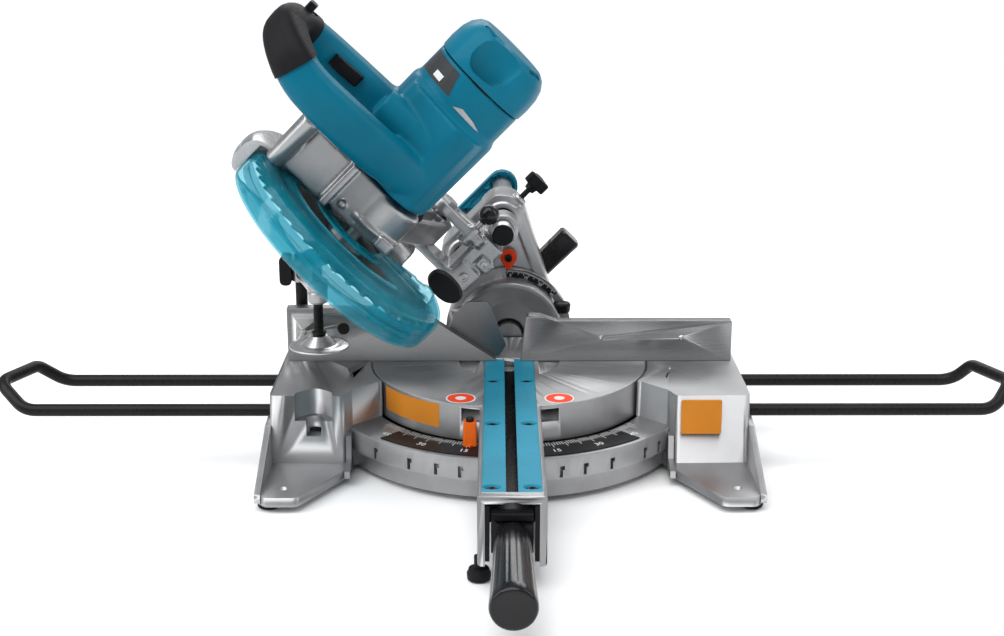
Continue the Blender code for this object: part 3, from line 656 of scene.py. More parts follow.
# ---- mitre pointer, latch and grip ---------------------------------------------------------
# An orange moulded pointer is screwed to the arm's left side over the scale. The black latch
# plate slides in the channel's mouth above the locking grip.
pointer = slab(
    filleted([(-43, -148, 2), (-31, -148, 2), (-31, -138, 1), (-43, -138, 1)]), "z", -34, -11, grow=0.6
)
tip = slab([(-39.5, -148), (-34.5, -148), (-37, -151.5)], "z", -34.2, -32)
ORANGE = moulded_look("orange_nylon", (0.78, 0.13, 0.01), 0.4)
fitted("mitre_pointer", eased(carved(pointer, add=[tip]), 0.5, 35), SAW, "turntable", ORANGE, "pointer")
screw = rod((-37, -143, -12), (-37, -143, -7.5), 3.6, edge=0.6)
fitted("mitre_pointer_screw", screw, SAW, "turntable", PAINT, "steel", sharp=40)

BLACK = moulded_look("black_nylon", (0.005, 0.005, 0.006), 0.34)
low, high = (Vector(c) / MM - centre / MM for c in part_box("mitre_latch"))
y0, z0, z1 = low.y, low.z, high.z
latch = slab(
    filleted([(-17, z0, 1.5), (17, z0, 1.5), (17, z1 - 5, 2), (-17, z1 - 5, 2)]), "y", y0 + 5, y0 + 12
)
lip = slab(
    filleted([(y0, z1 - 6, 1), (y0 + 12, z1 - 6, 1), (y0 + 12, z1, 1), (y0, z1, 2.5)]), "x", -16.8, 16.8
)
fitted(
    "mitre_latch_plate", eased(carved(latch, add=[lip]), 0.8, 35), SAW, "mitre_latch", BLACK, "black",
    "mitre_latch",
)

grip_base = Vector((0, -329, -31))
GRIP_DROOP = 4.2
lean = Matrix.Translation(grip_base) @ spun(90 + GRIP_DROOP, "X")
profile = [
    (0, 7), (3, 8.6), (8, 10), (14, 11.4), (18, 13.6), (30, 14.6), (60, 16), (100, 17.6), (118, 18.3),
    (126, 18.5), (129, 17.6), (130, 15.8),
]
flutes = 14
rings = []
for along, radius in profile:
    ring = []
    for n in range(112):
        a = 2 * math.pi * n / 112
        dip = 0.55 * max(0, math.cos(a * flutes)) ** 3 if 17 < along < 119 else 0
        ring.append(((radius - dip) * math.cos(a), (radius - dip) * math.sin(a), along))
    rings.append(ring)
rings.append([(p[0] * 0.86, p[1] * 0.86, 129.2) for p in rings[-1]])
GRIP = moulded_look("glossy_black_nylon", (0.008, 0.008, 0.009), 0.2, 400, 0.00003, 0.4)
handle = loft(rings)
handle.transform(lean)
fitted("mitre_grip_handle", handle, SAW, "mitre_grip", GRIP, "black", "mitre_grip", sharp=50)


# ---- fences --------------------------------------------------------------------------------
# Two ground aluminium fences stand on the side tables, each on a bolted rear flange. The left
# one carries a thin pivoting plate that fills the gap when the head stands upright.
FENCE_Z = 0.4
left_line = filleted(
    [
        (-221, FENCE_Z, 0.5), (-12, FENCE_Z, 1), (-84, 48, 2), (-124, 48, 20), (-146, 53, 20),
        (-176, 55.5, 6), (-221, 55.5, 1),
    ], 4
)
left = slab(left_line, "y", 0, 12)
left_flange = slab(filleted([(-221, 8, 1), (-144, 8, 1), (-144, 38, 6), (-221, 38, 6)]), "z", FENCE_Z, 8)
left_cuts = [rod((*POST, -5), (*POST, 20), POST_HOLE), rod((-205, -3, 31), (-205, 20, 31), 2.4)]
def milled_look(name, stretch=(1, 60, 60), tone=0.5):
    """A ground or brushed metal face, its fine lines along one axis."""
    look = Look(name, metallic=1.0)
    lines = look.noise(60, stretch, detail=5, rough=0.65)
    cloud = look.noise(9, detail=3)
    look.set(
        base_color=look.ramp(
            lines * 0.7 + cloud * 0.3, (0.3, (tone * 0.88,) * 3), (0.7, (tone * 1.12,) * 3)
        )
    )
    look.set(roughness=look.span(lines, 0.3, 0.7, 0.24, 0.42))
    look.bump(lines, 0.00001, 0.25)
    return look.material


POLISH = milled_look("ground_fence", (1, 60, 60), 0.34)
fitted(
    "left_fence_plate", eased(carved(left, add=[left_flange], cut=left_cuts), 0.6, 30), SAW, "base", POLISH,
    "milled", "left_fence",
)
right_line = filleted(
    [(12, FENCE_Z, 1), (222, FENCE_Z, 0.5), (222, 41.6, 1.5), (46, 41.4, 6), (31, 46.8, 6), (17, 47.5, 4)], 4
)
right = slab(right_line, "y", 0, 12)
right_flange = slab(filleted([(144, 8, 1), (219, 8, 1), (219, 38, 6), (144, 38, 6)]), "z", FENCE_Z, 8)
right_cuts = [rod((x, -3, 24), (x, 20, 24), 2.7) for x in (92, 172)]
fitted(
    "right_fence_plate", eased(carved(right, add=[right_flange], cut=right_cuts), 0.6, 30), SAW, "base",
    POLISH, "milled", "right_fence",
)
for x in (-200, -160, 160, 208):
    bolt = turned(
        [(8.1, 5.2), (12.4, 5.2), (12.8, 4.6), (12.8, 2.6), (9.8, 2.6), (9.8, 0)],
        at=(x, 30 if x > -190 else 20, 0), steps=24,
    )
    fitted(f"fence_bolt_{'l' if x < 0 else 'r'}{abs(x)}", bolt, SAW, "base", PAINT, "steel", sharp=35)
STEEL = milled_look("ground_steel", (60, 1, 60), 0.42)
fitted(
    "left_fence_screw", turned([(-0.9, 0), (-0.9, 1.6), (-0.3, 3.1), (0.6, 3.1)], "y", (-205, 0, 31), 32),
    SAW, "base", STEEL, "steel", sharp=30,
)
knob = turned(
    filleted([(-1.2, 0, 0), (-1.2, 5.4, 1), (0.5, 6.3, 0.5), (2, 6.3, 0)], 3), "y", (-165, 0, 34), 40
)
fitted("sub_fence_stop_knob", knob, SAW, "base", PAINT, "black", sharp=40)
sub_line = filleted(
    [
        (-51, 1.2, 2), (-10, 1.2, 3), (-3, 13, 3), (-21, 58, 7), (-42, 58, 5), (-56, 44, 4), (-60, 30, 2),
        (-60, 12, 4),
    ], 4
)
plate = slab(sub_line, "y", 12.4, 15.4)
DULL = milled_look("ground_sub_fence", (60, 60, 1), 0.2)
fitted("sub_fence_plate", eased(plate, 0.55, 30), SAW, "sub_fence", DULL, "milled", "sub_fence")

# ---- extension wings -----------------------------------------------------------------------
# Each wing is one 12 mm steel bar, bent to a loop and painted satin black. It slides in the base
# under a wing-headed screw.
def bent(corners, steps=8):
    """A path of straight runs joined by round bends; corners are (point, bend radius)."""
    points = [Vector(corners[0][0])]
    for k in range(1, len(corners) - 1):
        here, radius = Vector(corners[k][0]), corners[k][1]
        back, on = (Vector(corners[k - 1][0]) - here), (Vector(corners[k + 1][0]) - here)
        reach = min(radius / math.tan(back.angle(on) / 2), back.length * 0.48, on.length * 0.48)
        start, end = here + back.normalized() * reach, here + on.normalized() * reach
        for n in range(steps + 1):
            t = n / steps
            points.append(start * (1 - t) ** 2 + here * 2 * t * (1 - t) + end * t * t)
    points.append(Vector(corners[-1][0]))
    return points


def swept(path, section, up=(0, 0, 1)):
    """A section carried along a path; section(k) gives (side, up) offsets at point k."""
    rings = []
    for k, here in enumerate(path):
        along = (path[min(k + 1, len(path) - 1)] - path[max(k - 1, 0)]).normalized()
        side = along.cross(Vector(up)).normalized()
        over = side.cross(along)
        rings.append([here + side * a + over * b for a, b in section(k)])
    return loft(rings)


def round_section(radius, steps=20):
    ring = [
        (radius * math.cos(2 * math.pi * n / steps), radius * math.sin(2 * math.pi * n / steps))
        for n in range(steps)
    ]
    return lambda k: ring


BAR_RADIUS = 6
INNER_END = 198
front_row, rear_row = BAR_ROWS
for side, name, reach in ((-1, "left", 493), (1, "right", 485)):
    corners = [
        ((INNER_END, front_row, BAR_Z), 0), ((466, front_row, BAR_Z), 26), ((reach + 1.5, -52, -4), 16),
        ((reach - 21, -1, -4), 14), ((450, rear_row, BAR_Z), 26), ((INNER_END, rear_row, BAR_Z), 0),
    ]
    path = bent([((side * x, y, z), r) for (x, y, z), r in corners], 10)
    bar = swept(path, round_section(BAR_RADIUS))
    fitted(f"wing_bar_{name}", bar, SAW, f"{name}_wing", PAINT, "black_paint", f"wing_{name}", sharp=50)

LOCK_Z = -52
for side, name in ((-1, "left"), (1, "right")):
    x = side * BLOCK_SIDE
    stem = rod((x + side * 0.5, front_row, LOCK_Z), (x + side * 4.6, front_row, LOCK_Z), 6.6, edge=0.5)
    wing = slab(
        filleted([(-83, -54, 1.8), (-65, -54, 1.8), (-65, -50, 1.8), (-83, -50, 1.8)]), "x",
        *sorted((x + side * 4.3, x + side * 9)),
    )
    fitted(
        f"wing_lock_{name}_knob", eased(carved(stem, add=[wing]), 0.5, 35), SAW, f"{name}_wing_lock", BLACK,
        "black", f"wing_lock_{name}",
    )


# ---- motor housing and handle --------------------------------------------------------------
# The housing and the D-shaped handle are one pair of moulded nylon shells, so they are drawn
# as one skin. The end cap is a separate moulding behind a seam, with air slots in its face.
def squircle(half_a, half_b, power=2.6, steps=48):
    """A rounded-square section, rounder as its power nears 2."""
    ring = []
    for n in range(steps):
        a = 2 * math.pi * n / steps
        c, s = math.cos(a), math.sin(a)
        ring.append(
            (
                half_a * abs(c) ** (2 / power) * (1 if c > 0 else -1),
                half_b * abs(s) ** (2 / power) * (1 if s > 0 else -1),
            )
        )
    return ring


TEAL = moulded_look("teal_nylon", (0.0, 0.135, 0.215), 0.4)
MOTOR_V, MOTOR_W = -78, 224
MOTOR_AXIS = (0, MOTOR_V, MOTOR_W)


def barrel(stations, power=2.5):
    """A body along the motor's axis from (u, half depth, half height, v shift, w shift)."""
    rings = []
    for u, half_v, half_w, dv, dw in stations:
        rings.append([(u, MOTOR_V + dv + a, MOTOR_W + dw + b) for a, b in squircle(half_v, half_w, power)])
    return loft(rings)


STEPS = 6


def curve_through(points, steps=STEPS):
    """A smooth path through the points."""
    path = []
    ends = [points[0] * 2 - points[1]] + points + [points[-1] * 2 - points[-2]]
    for k in range(1, len(ends) - 2):
        a, b, c, d = ends[k - 1 : k + 3]
        for n in range(steps):
            t = n / steps
            path.append(
                0.5 * (
                    2 * b
                    + (c - a) * t
                    + (2 * a - 5 * b + 4 * c - d) * t**2
                    + (3 * b - a - 3 * c + d) * t**3
                )
            )
    return path + [points[-1]]


handle_line = [
    Vector(p)
    for p in (
        (88, -124, 208), (89, -140, 228), (90, -160, 254), (92, -177, 298), (95, -187, 336), (102, -182, 360),
        (110, -163, 377), (116, -141, 374), (113, -114, 350), (110, -96, 312), (108, -82, 262),
    )
]
handle_path = curve_through(handle_line)
side_half = [19, 20, 20.5, 20, 19, 17.5, 16, 15.5, 18, 20, 21]
deep_half = [18, 18.5, 18.5, 18, 17.5, 16.5, 15.5, 15.5, 17, 19, 24]


def at_step(values, k):
    whole, part = divmod(k / STEPS, 1)
    whole = int(whole)
    if whole >= len(values) - 1:
        return values[-1]
    return values[whole] * (1 - part) + values[whole + 1] * part


def limb_section(extra=0.0):
    return lambda k: squircle(at_step(deep_half, k) + extra, at_step(side_half, k) + extra, 2.7)


limb = swept(handle_path, limb_section(), up=(1, 0, 0.02))
def cast_skin(mesh, voxel, rounds=6):
    """Joined shapes drawn together into one skin with the soft inside corners of a casting."""
    skin = worked(
        mesh,
        ("REMESH", {"mode": "VOXEL", "voxel_size": voxel, "use_smooth_shade": True}),
        ("SMOOTH", {"factor": 0.5, "iterations": rounds}),
    )
    skin.shade_smooth()
    return skin


front_barrel = barrel(
    [
        (61.3, 43, 44, 0, 0), (64, 46.5, 47, 0, 0), (72, 48, 48.5, 0, 0), (150, 49, 49, 0, 0),
        (154, 48, 48, 0, 0), (156, 45, 45.5, 0, 0),
    ], 2.9
)
rear_barrel = barrel([(140, 46.5, 46.5, 0, 0), (186.5, 46.5, 46.5, 0, 0)], 2.5)
cheek = slab(
    filleted(
        [
            (-146, 212, 14), (-122, 268, 20), (-60, 272, 12), (-40, 240, 10), (-40, 180, 10),
            (-100, 178, 16), (-138, 194, 16),
        ]
    ),
    "x", 66, 150,
)
root = rod((112, -80, 262), (112, -82, 292), 21, 14)
boss = rod((116, -126, 222), (116, -122, 276), 17)
shell = carved(front_barrel, add=[rear_barrel, limb, cheek, root, boss])
shell = cast_skin(shell, 1.5, 10)
fitted("motor_and_handle_shell", shell, HEAD, "head", TEAL, "teal", "motor_housing", "handle_frame")

cap = barrel(
    [
        (187.2, 44, 44, 0, 0), (187.6, 47.2, 47.2, 0, 0), (198, 47.6, 47.6, 0, 0), (210, 46.6, 46.6, 0, 0),
        (219, 43.6, 43.8, 0, 0),
        (225.5, 38.5, 39, 0, 0), (228.4, 33, 34, 0, 0), (229, 28, 29, 0, 0),
    ],
    2.6,
)
cap_slots = []
for turn in (0, 90, 180, 270):
    slot_cut = slab(filleted([(-9, 36, 2), (-9, 40.5, 2), (9, 40.5, 2), (9, 36, 2)], 3), "x", 214, 236)
    slot_cut.transform(Matrix.Translation(MOTOR_AXIS) @ spun(turn + 45, "X"))
    cap_slots.append(slot_cut)
thumb_stations = ((188, -41, 3, 12), (202, -44, 9, 20), (222, -48, 12, 24), (240, -52, 14, 27))
thumb = loft(
    [
        [(u, MOTOR_V + dv + a, MOTOR_W + 6 + b) for a, b in squircle(ha, hb, 2.4)]
        for u, dv, ha, hb in thumb_stations
    ]
)
screw_hole = rod((199, -140, 236), (199, -118, 236), 3)
cap = carved(cap, cut=cap_slots + [thumb, screw_hole])
fitted("motor_end_cap_shell", eased(cap, 0.9, 35), HEAD, "head", TEAL, "teal", "motor_end_cap")
seam_band = turned([(185.4, 40), (185.4, 46.2), (188.4, 46.2), (188.4, 40)], "x", MOTOR_AXIS, 72, ring=True)
fitted("motor_seam", seam_band, HEAD, "head", BLACK, "black", sharp=35)

# ---- handle overmould, lock-off button and trigger -----------------------------------------
# Soft black rubber is moulded over the front and top of the handle. The lock-off button stands
# out of its right side and the trigger fills the inside of the rear limb.
sleeve_ks = list(range(22, 47))
outer = swept([handle_path[k] for k in sleeve_ks], lambda n: limb_section(1.5)(sleeve_ks[n]), up=(1, 0, 0.02))
slant = slab([(60, 300), (140, 300), (140, 338), (60, 362)], "y", -240, -150)
tail = slab([(-150, 300), (-60, 300), (-60, 420), (-110, 400), (-124, 362), (-146, 352)], "x", 60, 150)
button_seat = rod((124, -134, 376), (146, -134, 376), 9.5)
sleeve = carved(outer, cut=[slant, tail, button_seat])
fitted("handle_rubber", eased(sleeve, 0.9, 40), HEAD, "head", RUBBER, "rubber", "handle_grip")
button = slab(
    filleted([(-141.5, 372, 3.4), (-141.5, 380, 3.4), (-126.5, 380, 3.4), (-126.5, 372, 3.4)]), "x", 128,
    140,
)
fitted(
    "lock_off_button_cap", eased(button, 1.2, 35, 3), HEAD, "lock_off_button", BLACK, "black",
    "lock_off_button",
)
trigger_line = filleted(
    [(-123.5, 334, 2), (-108.7, 301.2, 4), (-120, 302, 4), (-129.5, 324, 6), (-129, 331.5, 3)], 4
)
blade_trigger = slab(trigger_line, "x", 109, 121)
fitted("trigger_blade", eased(blade_trigger, 1.4, 35, 3), HEAD, "trigger", BLACK, "black", "trigger")

# ---- plates on the motor -------------------------------------------------------------------
# A blank grey rating plate and a bright trim wedge are let into the shell's front.
PLATE = moulded_look("grey_plate", (0.045, 0.047, 0.05), 0.4, 1200, 0.00002)


def wrapped(name, outline, look, slot, radius=46.5, lift=0.25):
    """A thin plate laid on the motor, its outline in (u, degrees up from straight ahead)."""
    mesh = bmesh.new()
    loop = [mesh.verts.new((u, angle, 0)) for u, angle in outline]
    mesh.faces.new(loop)
    bmesh.ops.triangulate(mesh, faces=mesh.faces)
    bmesh.ops.subdivide_edges(mesh, edges=mesh.edges, cuts=5, use_grid_fill=True)
    for v in mesh.verts:
        u, angle = v.co.x, math.radians(v.co.y)
        c, s = math.cos(angle), math.sin(angle)
        reach = (abs(c) ** 2.5 + abs(s) ** 2.5) ** (-1 / 2.5) * radius + lift
        v.co = (u, MOTOR_V - reach * c, MOTOR_W + reach * s)
    made = bpy.data.meshes.new(name)
    mesh.to_mesh(made)
    mesh.free()
    return fitted(name, made, HEAD, "head", look, slot)


wrapped("rating_plate", [(162, 18), (162, 78), (183, 78), (183, 26)], PLATE, "black")
wrapped("rating_plate_field", [(165, 36), (165, 48), (171, 48), (171, 36)], INK, "black", lift=0.4)
wrapped("trim_wedge", [(157, -34), (158.5, 8), (163, -2), (161, -20)], STEEL, "steel")


# ---- gear case and head arm ----------------------------------------------------------------
# One casting holds the gears beside the blade, the motor's flange and the arm back to the chop
# pin. Its top is opened up between ribs to save weight, and the shells are screwed to it.
BLADE_V, BLADE_W = -104, 212
BLADE_AXIS = (0, BLADE_V, BLADE_W)
CHOP_V, CHOP_W = 62, 148
CHOP_AXIS, CHOP_HOLE = (0, CHOP_V, CHOP_W), 7.3
arm_side = filleted(
    [
        (-96, 250, 6), (-80, 182, 10), (0, 148, 10), (52, 129, 10), (76, 136, 8), (80, 156, 8),
        (60, 167, 8), (8, 196, 14),
        (-40, 252, 6),
    ]
)
back_arm = slab(arm_side, "x", 20.5, 49)
gear_drum = turned(
    filleted(
        [
            (20.5, 0, 0), (20.5, 34, 2), (29, 35, 2), (29, 37, 1), (33, 37, 1), (33, 35, 2), (61, 35, 3),
            (61, 0, 0),
        ],
        3,
    ),
    "x", BLADE_AXIS, 72,
)
motor_flange = turned(filleted([(46, 0, 0), (46, 46, 2), (61, 46, 2), (61, 0, 0)], 3), "x", MOTOR_AXIS, 72)
neck = slab(
    filleted(
        [(-139, 214, 10), (-132, 262, 10), (-96, 290, 12), (-66, 282, 10), (-60, 240, 10), (-100, 206, 6)]
    ),
    "x", 20.5, 63,
)
saddle = slab(filleted([(-132, 258, 4), (-130, 300, 4), (-90, 300, 6), (-70, 262, 6)]), "x", 17, 62)
ledge = slab(filleted([(-143, 250, 2), (-143, 257, 2), (-96, 260, 2), (-96, 250, 2)]), "x", 17.5, 64)
screw_boss = rod((30, -142, 240), (30, -128, 240), 3.2)
lug = slab(filleted([(-140, 180, 3), (-140, 196, 3), (-118, 196, 3), (-112, 180, 3)]), "x", 22, 34)
strut = rod((14, -126, 309), (68, -142, 309), 9, 10)
pockets = []
for outline in (
    [(-34, 176), (-34, 186), (46, 150), (46, 140)], [(-34, 191), (-32, 206), (42, 164), (46, 154)],
    [(-32, 212), (-28, 230), (8, 192), (34, 171)], [(50, 138), (50, 148), (70, 146), (68, 138)],
):
    pockets.append(slab(filleted([(*corner, 1.5) for corner in outline], 3), "x", 40, 60))
bores = [
    rod((50, MOTOR_V, MOTOR_W), (70, MOTOR_V, MOTOR_W), 41),
    rod((10, CHOP_V, CHOP_W), (70, CHOP_V, CHOP_W), CHOP_HOLE),
    rod((26.5, CHOP_V, CHOP_W), (42.5, CHOP_V, CHOP_W), 13.4),
    rod((10, BLADE_V, BLADE_W), (24, BLADE_V, BLADE_W), 7.5),
]
belly = [
    slab(
        filleted([(-66, 182, 4), (-6, 157, 4), (36, 141, 4), (36, 150, 4), (-4, 170, 4), (-66, 200, 4)]),
        "x", 25, 62,
    )
]
case_parts = [gear_drum, motor_flange, neck, saddle, ledge, screw_boss, lug, strut]
case = carved(back_arm, add=case_parts, cut=pockets + belly)
case = carved(cast_skin(case, 1.15, 5), cut=bores)
HEAD_CAST = cast_look("head_aluminium", 0.36, 0.3)
fitted("gear_case_casting", case, HEAD, "head", HEAD_CAST, "cast", "gear_case", sharp=40)


def fastener(name, mesh, at, direction, body, look):
    """A screw or bolt made upright, put in place along its direction."""
    mesh.transform(pointing(at, direction))
    fitted(name, mesh, HEAD, body, look, "steel", sharp=30)


def hex_bolt(name, at, direction, size, body, look):
    """A hexagon head on a thin washer."""
    washer = turned([(0, size * 1.15), (0.9, size * 1.15)], steps=32)
    hexagon = turned([(0.9, size * 0.98), (size * 0.75, size), (size * 0.88, size * 0.86)], steps=6)
    fastener(name, carved(washer, add=[hexagon]), at, direction, body, look)


def socket_screw(name, at, direction, size, body, look):
    """A cap screw with a hexagon socket."""
    cap = turned(
        filleted([(0, 0, 0), (0, size, 0), (size * 0.9, size, size * 0.2), (size * 0.9, 0, 0)], 3), steps=32
    )
    hexagon = turned([(size * 0.4, size * 0.48), (size, size * 0.48)], steps=6)
    fastener(name, carved(cap, cut=[hexagon]), at, direction, body, look)


hex_bolt("gear_case_stop_bolt", (27, -112, 183), (0.15, -0.3, -0.95), 5.5, "head", STEEL)
socket_screw("gear_case_screw_a", (36, -30, 247.5), (0, 0.72, 0.69), 4, "head", STEEL)
socket_screw("gear_case_screw_b", (24.5, 66, 164.5), (0, 0.4, 0.9), 3.4, "head", STEEL)
socket_screw("gear_case_screw_c", (56, -121.5, 240), (0, -1, 0.1), 3.2, "head", STEEL)
knob = turned(filleted([(0, 0, 0), (0, 8, 1), (9, 8.6, 2), (9, 0, 0)], 3), steps=48)
knob.transform(pointing((50, -56, 180), (0.55, -0.75, -0.2)))
fitted("head_cable_plug", knob, HEAD, "head", RUBBER, "rubber", sharp=40)

# ---- fixed blade case ----------------------------------------------------------------------
# A polished casting covers the upper half of the blade, with a parting line round its crown.
crown = [
    (-17.5, 116.5), (-17, 120.5), (-14.5, 124), (-10, 126.6), (-4, 127.9), (1.5, 128), (1.75, 127.5),
    (2.25, 127.5), (2.5, 128),
]
crown += [
    (8, 127.6), (13.5, 125.4), (17.8, 121), (19.8, 114), (20, 106), (20, 96), (21.2, 93), (21.2, 60),
    (20, 57), (20, 37),
]
crown += [(17, 37), (17, 112), (14.6, 119), (9, 123.6), (1, 124.8), (-5, 124.2), (-11, 121.6), (-15, 116.5)]


def sector(start, end, low=-40, high=40, reach=190):
    """A pie slice about the blade's centre; 0 is straight ahead and 90 straight up."""
    count = max(3, int((end - start) / 12))
    rim = []
    for k in range(count + 1):
        a = math.radians(start + (end - start) * k / count)
        rim.append((BLADE_V - reach * math.cos(a), BLADE_W + reach * math.sin(a)))
    return slab([(BLADE_V, BLADE_W)] + rim, "x", low, high)


cover = turned(crown, "x", BLADE_AXIS, 144, ring=True)
cover = carved(cover, cut=[sector(-148, 78, -30, 30)])
end_ring = turned(
    [(-14.6, 116.6), (-14.6, 122), (-8, 125.4), (9, 125.4), (16, 120), (17.6, 116.6)], "x", BLADE_AXIS, 144,
    ring=True,
)
end_wall = carved(end_ring, cut=[sector(81, 438.5)])
ear = rod((16, BLADE_V + 40, BLADE_W + 92), (21, BLADE_V + 40, BLADE_W + 92), 9)
cover = carved(cover, add=[ear, end_wall])
POLISHED = cast_look("polished_case", 0.42, 0.24)
fitted("blade_case_cover", cover, HEAD, "head", POLISHED, "cast", "blade_case", sharp=38)
socket_screw("blade_case_screw", (21, BLADE_V + 40, BLADE_W + 92), (1, 0, 0), 4.2, "head", STEEL)

# ---- clear lower guard ---------------------------------------------------------------------
# A moulded polycarbonate shell, tinted blue-green and see-through. It is thicker at its rim and
# at the bead round its side, and it swings back round the blade as the head comes down.
def clear_look(name):
    look = Look(name, roughness=0.06, coat_weight=0.0)
    cloud = look.noise(30, detail=2)
    look.set(base_color=look.ramp(cloud, (0.3, (0.0, 0.24, 0.33)), (0.7, (0.01, 0.32, 0.42))))
    clear = look.node("ShaderNodeBsdfTransparent", None, {"Color": (0.62, 0.87, 0.92)})
    edge = look.node("ShaderNodeNewGeometry", out="Pointiness")
    solid = look.span(edge, 0.5, 0.56, 0.2, 0.7) + look.span(cloud, 0.3, 0.7, 0.0, 0.08)
    mixed = look.node(
        "ShaderNodeMixShader", None, {0: solid, 1: clear, 2: Value(look, look.shader.outputs[0])}
    )
    output = look.tree.nodes["Material Output"]
    look.tree.links.new(mixed.socket, output.inputs["Surface"])
    return look.material


CLEAR = clear_look("tinted_polycarbonate")
outside = filleted(
    [
        (-26, 60, 0.5), (-26, 96, 2), (-25, 101, 2), (-25, 107, 3), (-22, 114, 5), (-12, 115, 4),
        (2, 115, 5), (9.5, 112, 5),
        (13, 103, 4), (13, 97, 1.5), (11.6, 94, 1.5), (11.6, 86, 1.5), (13, 82, 1.5), (13, 32, 0.5),
    ],
    3,
)
inside = filleted(
    [
        (11, 32, 0.5), (11, 82, 1.5), (9.6, 86, 1.5), (9.6, 96, 1.5), (11, 103, 3), (8, 110.4, 4),
        (1, 112.7, 4), (-12, 112.7, 4),
        (-20.4, 112, 4), (-23.2, 106, 3), (-23, 100, 2), (-24, 96, 2), (-24, 60, 0.5),
    ],
    3,
)
guard = turned(outside + inside, "x", BLADE_AXIS, 160, ring=True)
side_window = carved(sector(-48, 80, 5, 20, 74), cut=[turned([(0, 46), (25, 46)], "x", BLADE_AXIS, 64)])
guard = carved(guard, cut=[sector(84, 245), side_window])
hub = turned([(9.5, 34.5), (13.2, 34.5), (13.2, 30), (9.5, 30)], "x", BLADE_AXIS, 64, ring=True)
stiffener = carved(
    turned(
        [(-10, 112.9), (-8.6, 111.4), (-8.6, 109.5), (-6.4, 109.5), (-6.4, 111.4), (-5, 112.9)], "x",
        BLADE_AXIS, 160, ring=True,
    ),
    cut=[sector(80, 248)],
)
guard = carved(guard, add=[hub, stiffener])
fitted("lower_guard_shell", guard, HEAD, "lower_guard", CLEAR, "clear_guard", "lower_guard", sharp=30)

# ---- blade, flanges and bolt ---------------------------------------------------------------
# The blade is laser-cut steel with brazed carbide teeth and four slots that let its rim expand.
TEETH = 40
tooth_line = (
    (0.0, 107.6), (
        0.028, 106.4
    ), (0.05, 102.6), (0.075, 100.2), (0.105, 101.0), (0.125, 103.6), (0.148, 107.2)
)
outline = []
for n in range(TEETH):
    a = 2 * math.pi * n / TEETH
    for turn, radius in tooth_line:
        outline.append((BLADE_V + radius * math.cos(a + turn), BLADE_W + radius * math.sin(a + turn)))
disc = slab(outline, "x", -0.9, 0.9)
slots = [rod((-3, BLADE_V, BLADE_W), (3, BLADE_V, BLADE_W), 8.3)]
for n in range(4):
    a = 2 * math.pi * (n + 0.13) / 4
    slot_cut = slab([(86, -0.6), (104, -0.6), (104, 0.6), (86, 0.6)], "x", -3, 3)
    eye = rod((-3, 85, 0), (3, 85, 0), 2.2)
    for cutter in (slot_cut, eye):
        cutter.transform(Matrix.Translation(BLADE_AXIS) @ Matrix.Rotation(a, 4, "X"))
        slots.append(cutter)
BLADE = milled_look("blade_steel", (1, 40, 40), 0.2)
fitted("saw_blade_disc", carved(disc, cut=slots), HEAD, "blade_unit", BLADE, "steel", "saw_blade", sharp=30)
tips = []
for n in range(TEETH):
    tip = slab([(103.2, -1.2), (107.9, -0.9), (107.9, 2.2), (103.2, 1.4)], "x", -1.25, 1.25)
    tip.transform(Matrix.Translation(BLADE_AXIS) @ Matrix.Rotation(2 * math.pi * n / TEETH - 0.012, 4, "X"))
    tips.append(tip)
fitted("saw_blade_tips", gathered(tips), HEAD, "blade_unit", STEEL, "steel", sharp=30)
outer_flange = turned(
    filleted([(-1.2, 7.4, 0), (-1.2, 24, 0.8), (-3, 24, 0.8), (-5, 15, 1), (-5, 7.4, 0)], 3), "x",
    BLADE_AXIS, 64, ring=True,
)
fitted("outer_flange_plate", outer_flange, HEAD, "blade_unit", STEEL, "steel", "outer_flange", sharp=35)
bolt = carved(
    turned([(-17, 7.6), (-16, 9), (-11.5, 9)], "x", BLADE_AXIS, 6),
    add=[turned([(-12.2, 12), (-10.3, 12)], "x", BLADE_AXIS, 48)],
    cut=[turned([(-20, 4), (-14, 4)], "x", BLADE_AXIS, 6)],
)
fitted("blade_bolt_head", bolt, HEAD, "blade_unit", PAINT, "black", "blade_bolt", sharp=25)

# ---- dust nozzle ---------------------------------------------------------------------------
# A soft rubber flap behind the blade guides the dust back. It is moulded with a rounded edge and
# stands clear of the carriage with the head right down.
flap = loft(
    [
        [(u + a, v, w + b) for a, b in squircle(ha, hb, 2.3, 40)]
        for v, u, w, ha, hb in (
            (-24, 13, 104, 7, 12), (-22.5, 13, 103, 11, 18), (-14, 13, 102, 12, 20),
            (-8, 13, 103, 11, 18), (-6, 13, 104, 7, 12),
        )
    ]
)
fitted("dust_nozzle_rubber", flap, HEAD, "head", RUBBER, "rubber", "dust_nozzle", sharp=50)


# ---- bevel arm, its scale and pointer ------------------------------------------------------
# The upright arm turns on the drum behind the table and ends in two bosses for the slide poles.
POLES = (23, 79)
POLE_W = 87.5
POLE_RADIUS, POLE_HOLE, BUSH_HOLE = 11, 11.3, 13.2
LOCK_V = 140
arm_line = filleted(
    [
        (-54, 20, 6), (-4, 74, 10), (-2, 100, 8), (12, 112, 8), (92, 112, 14), (103, 98, 10), (104, 80, 14),
        (57, -10, 6),
    ], 6
)
upright = slab(arm_line, "y", 121, 165)
disc = turned(filleted([(118.4, 0, 0), (118.4, 58, 1.5), (165, 58, 3), (165, 0, 0)], 3), "y", steps=96)
nose = []
for u in POLES:
    steps = [
        (118.4, 0, 0), (118.4, 17.5, 0.6), (120.5, 19, 0.6), (122, 21, 1.5), (128, 21.8, 1), (128, 25, 2.5),
        (176, 25, 3), (176, 0, 0),
    ]
    nose.append(turned(filleted(steps, 3), "y", (u, 0, POLE_W), 80))
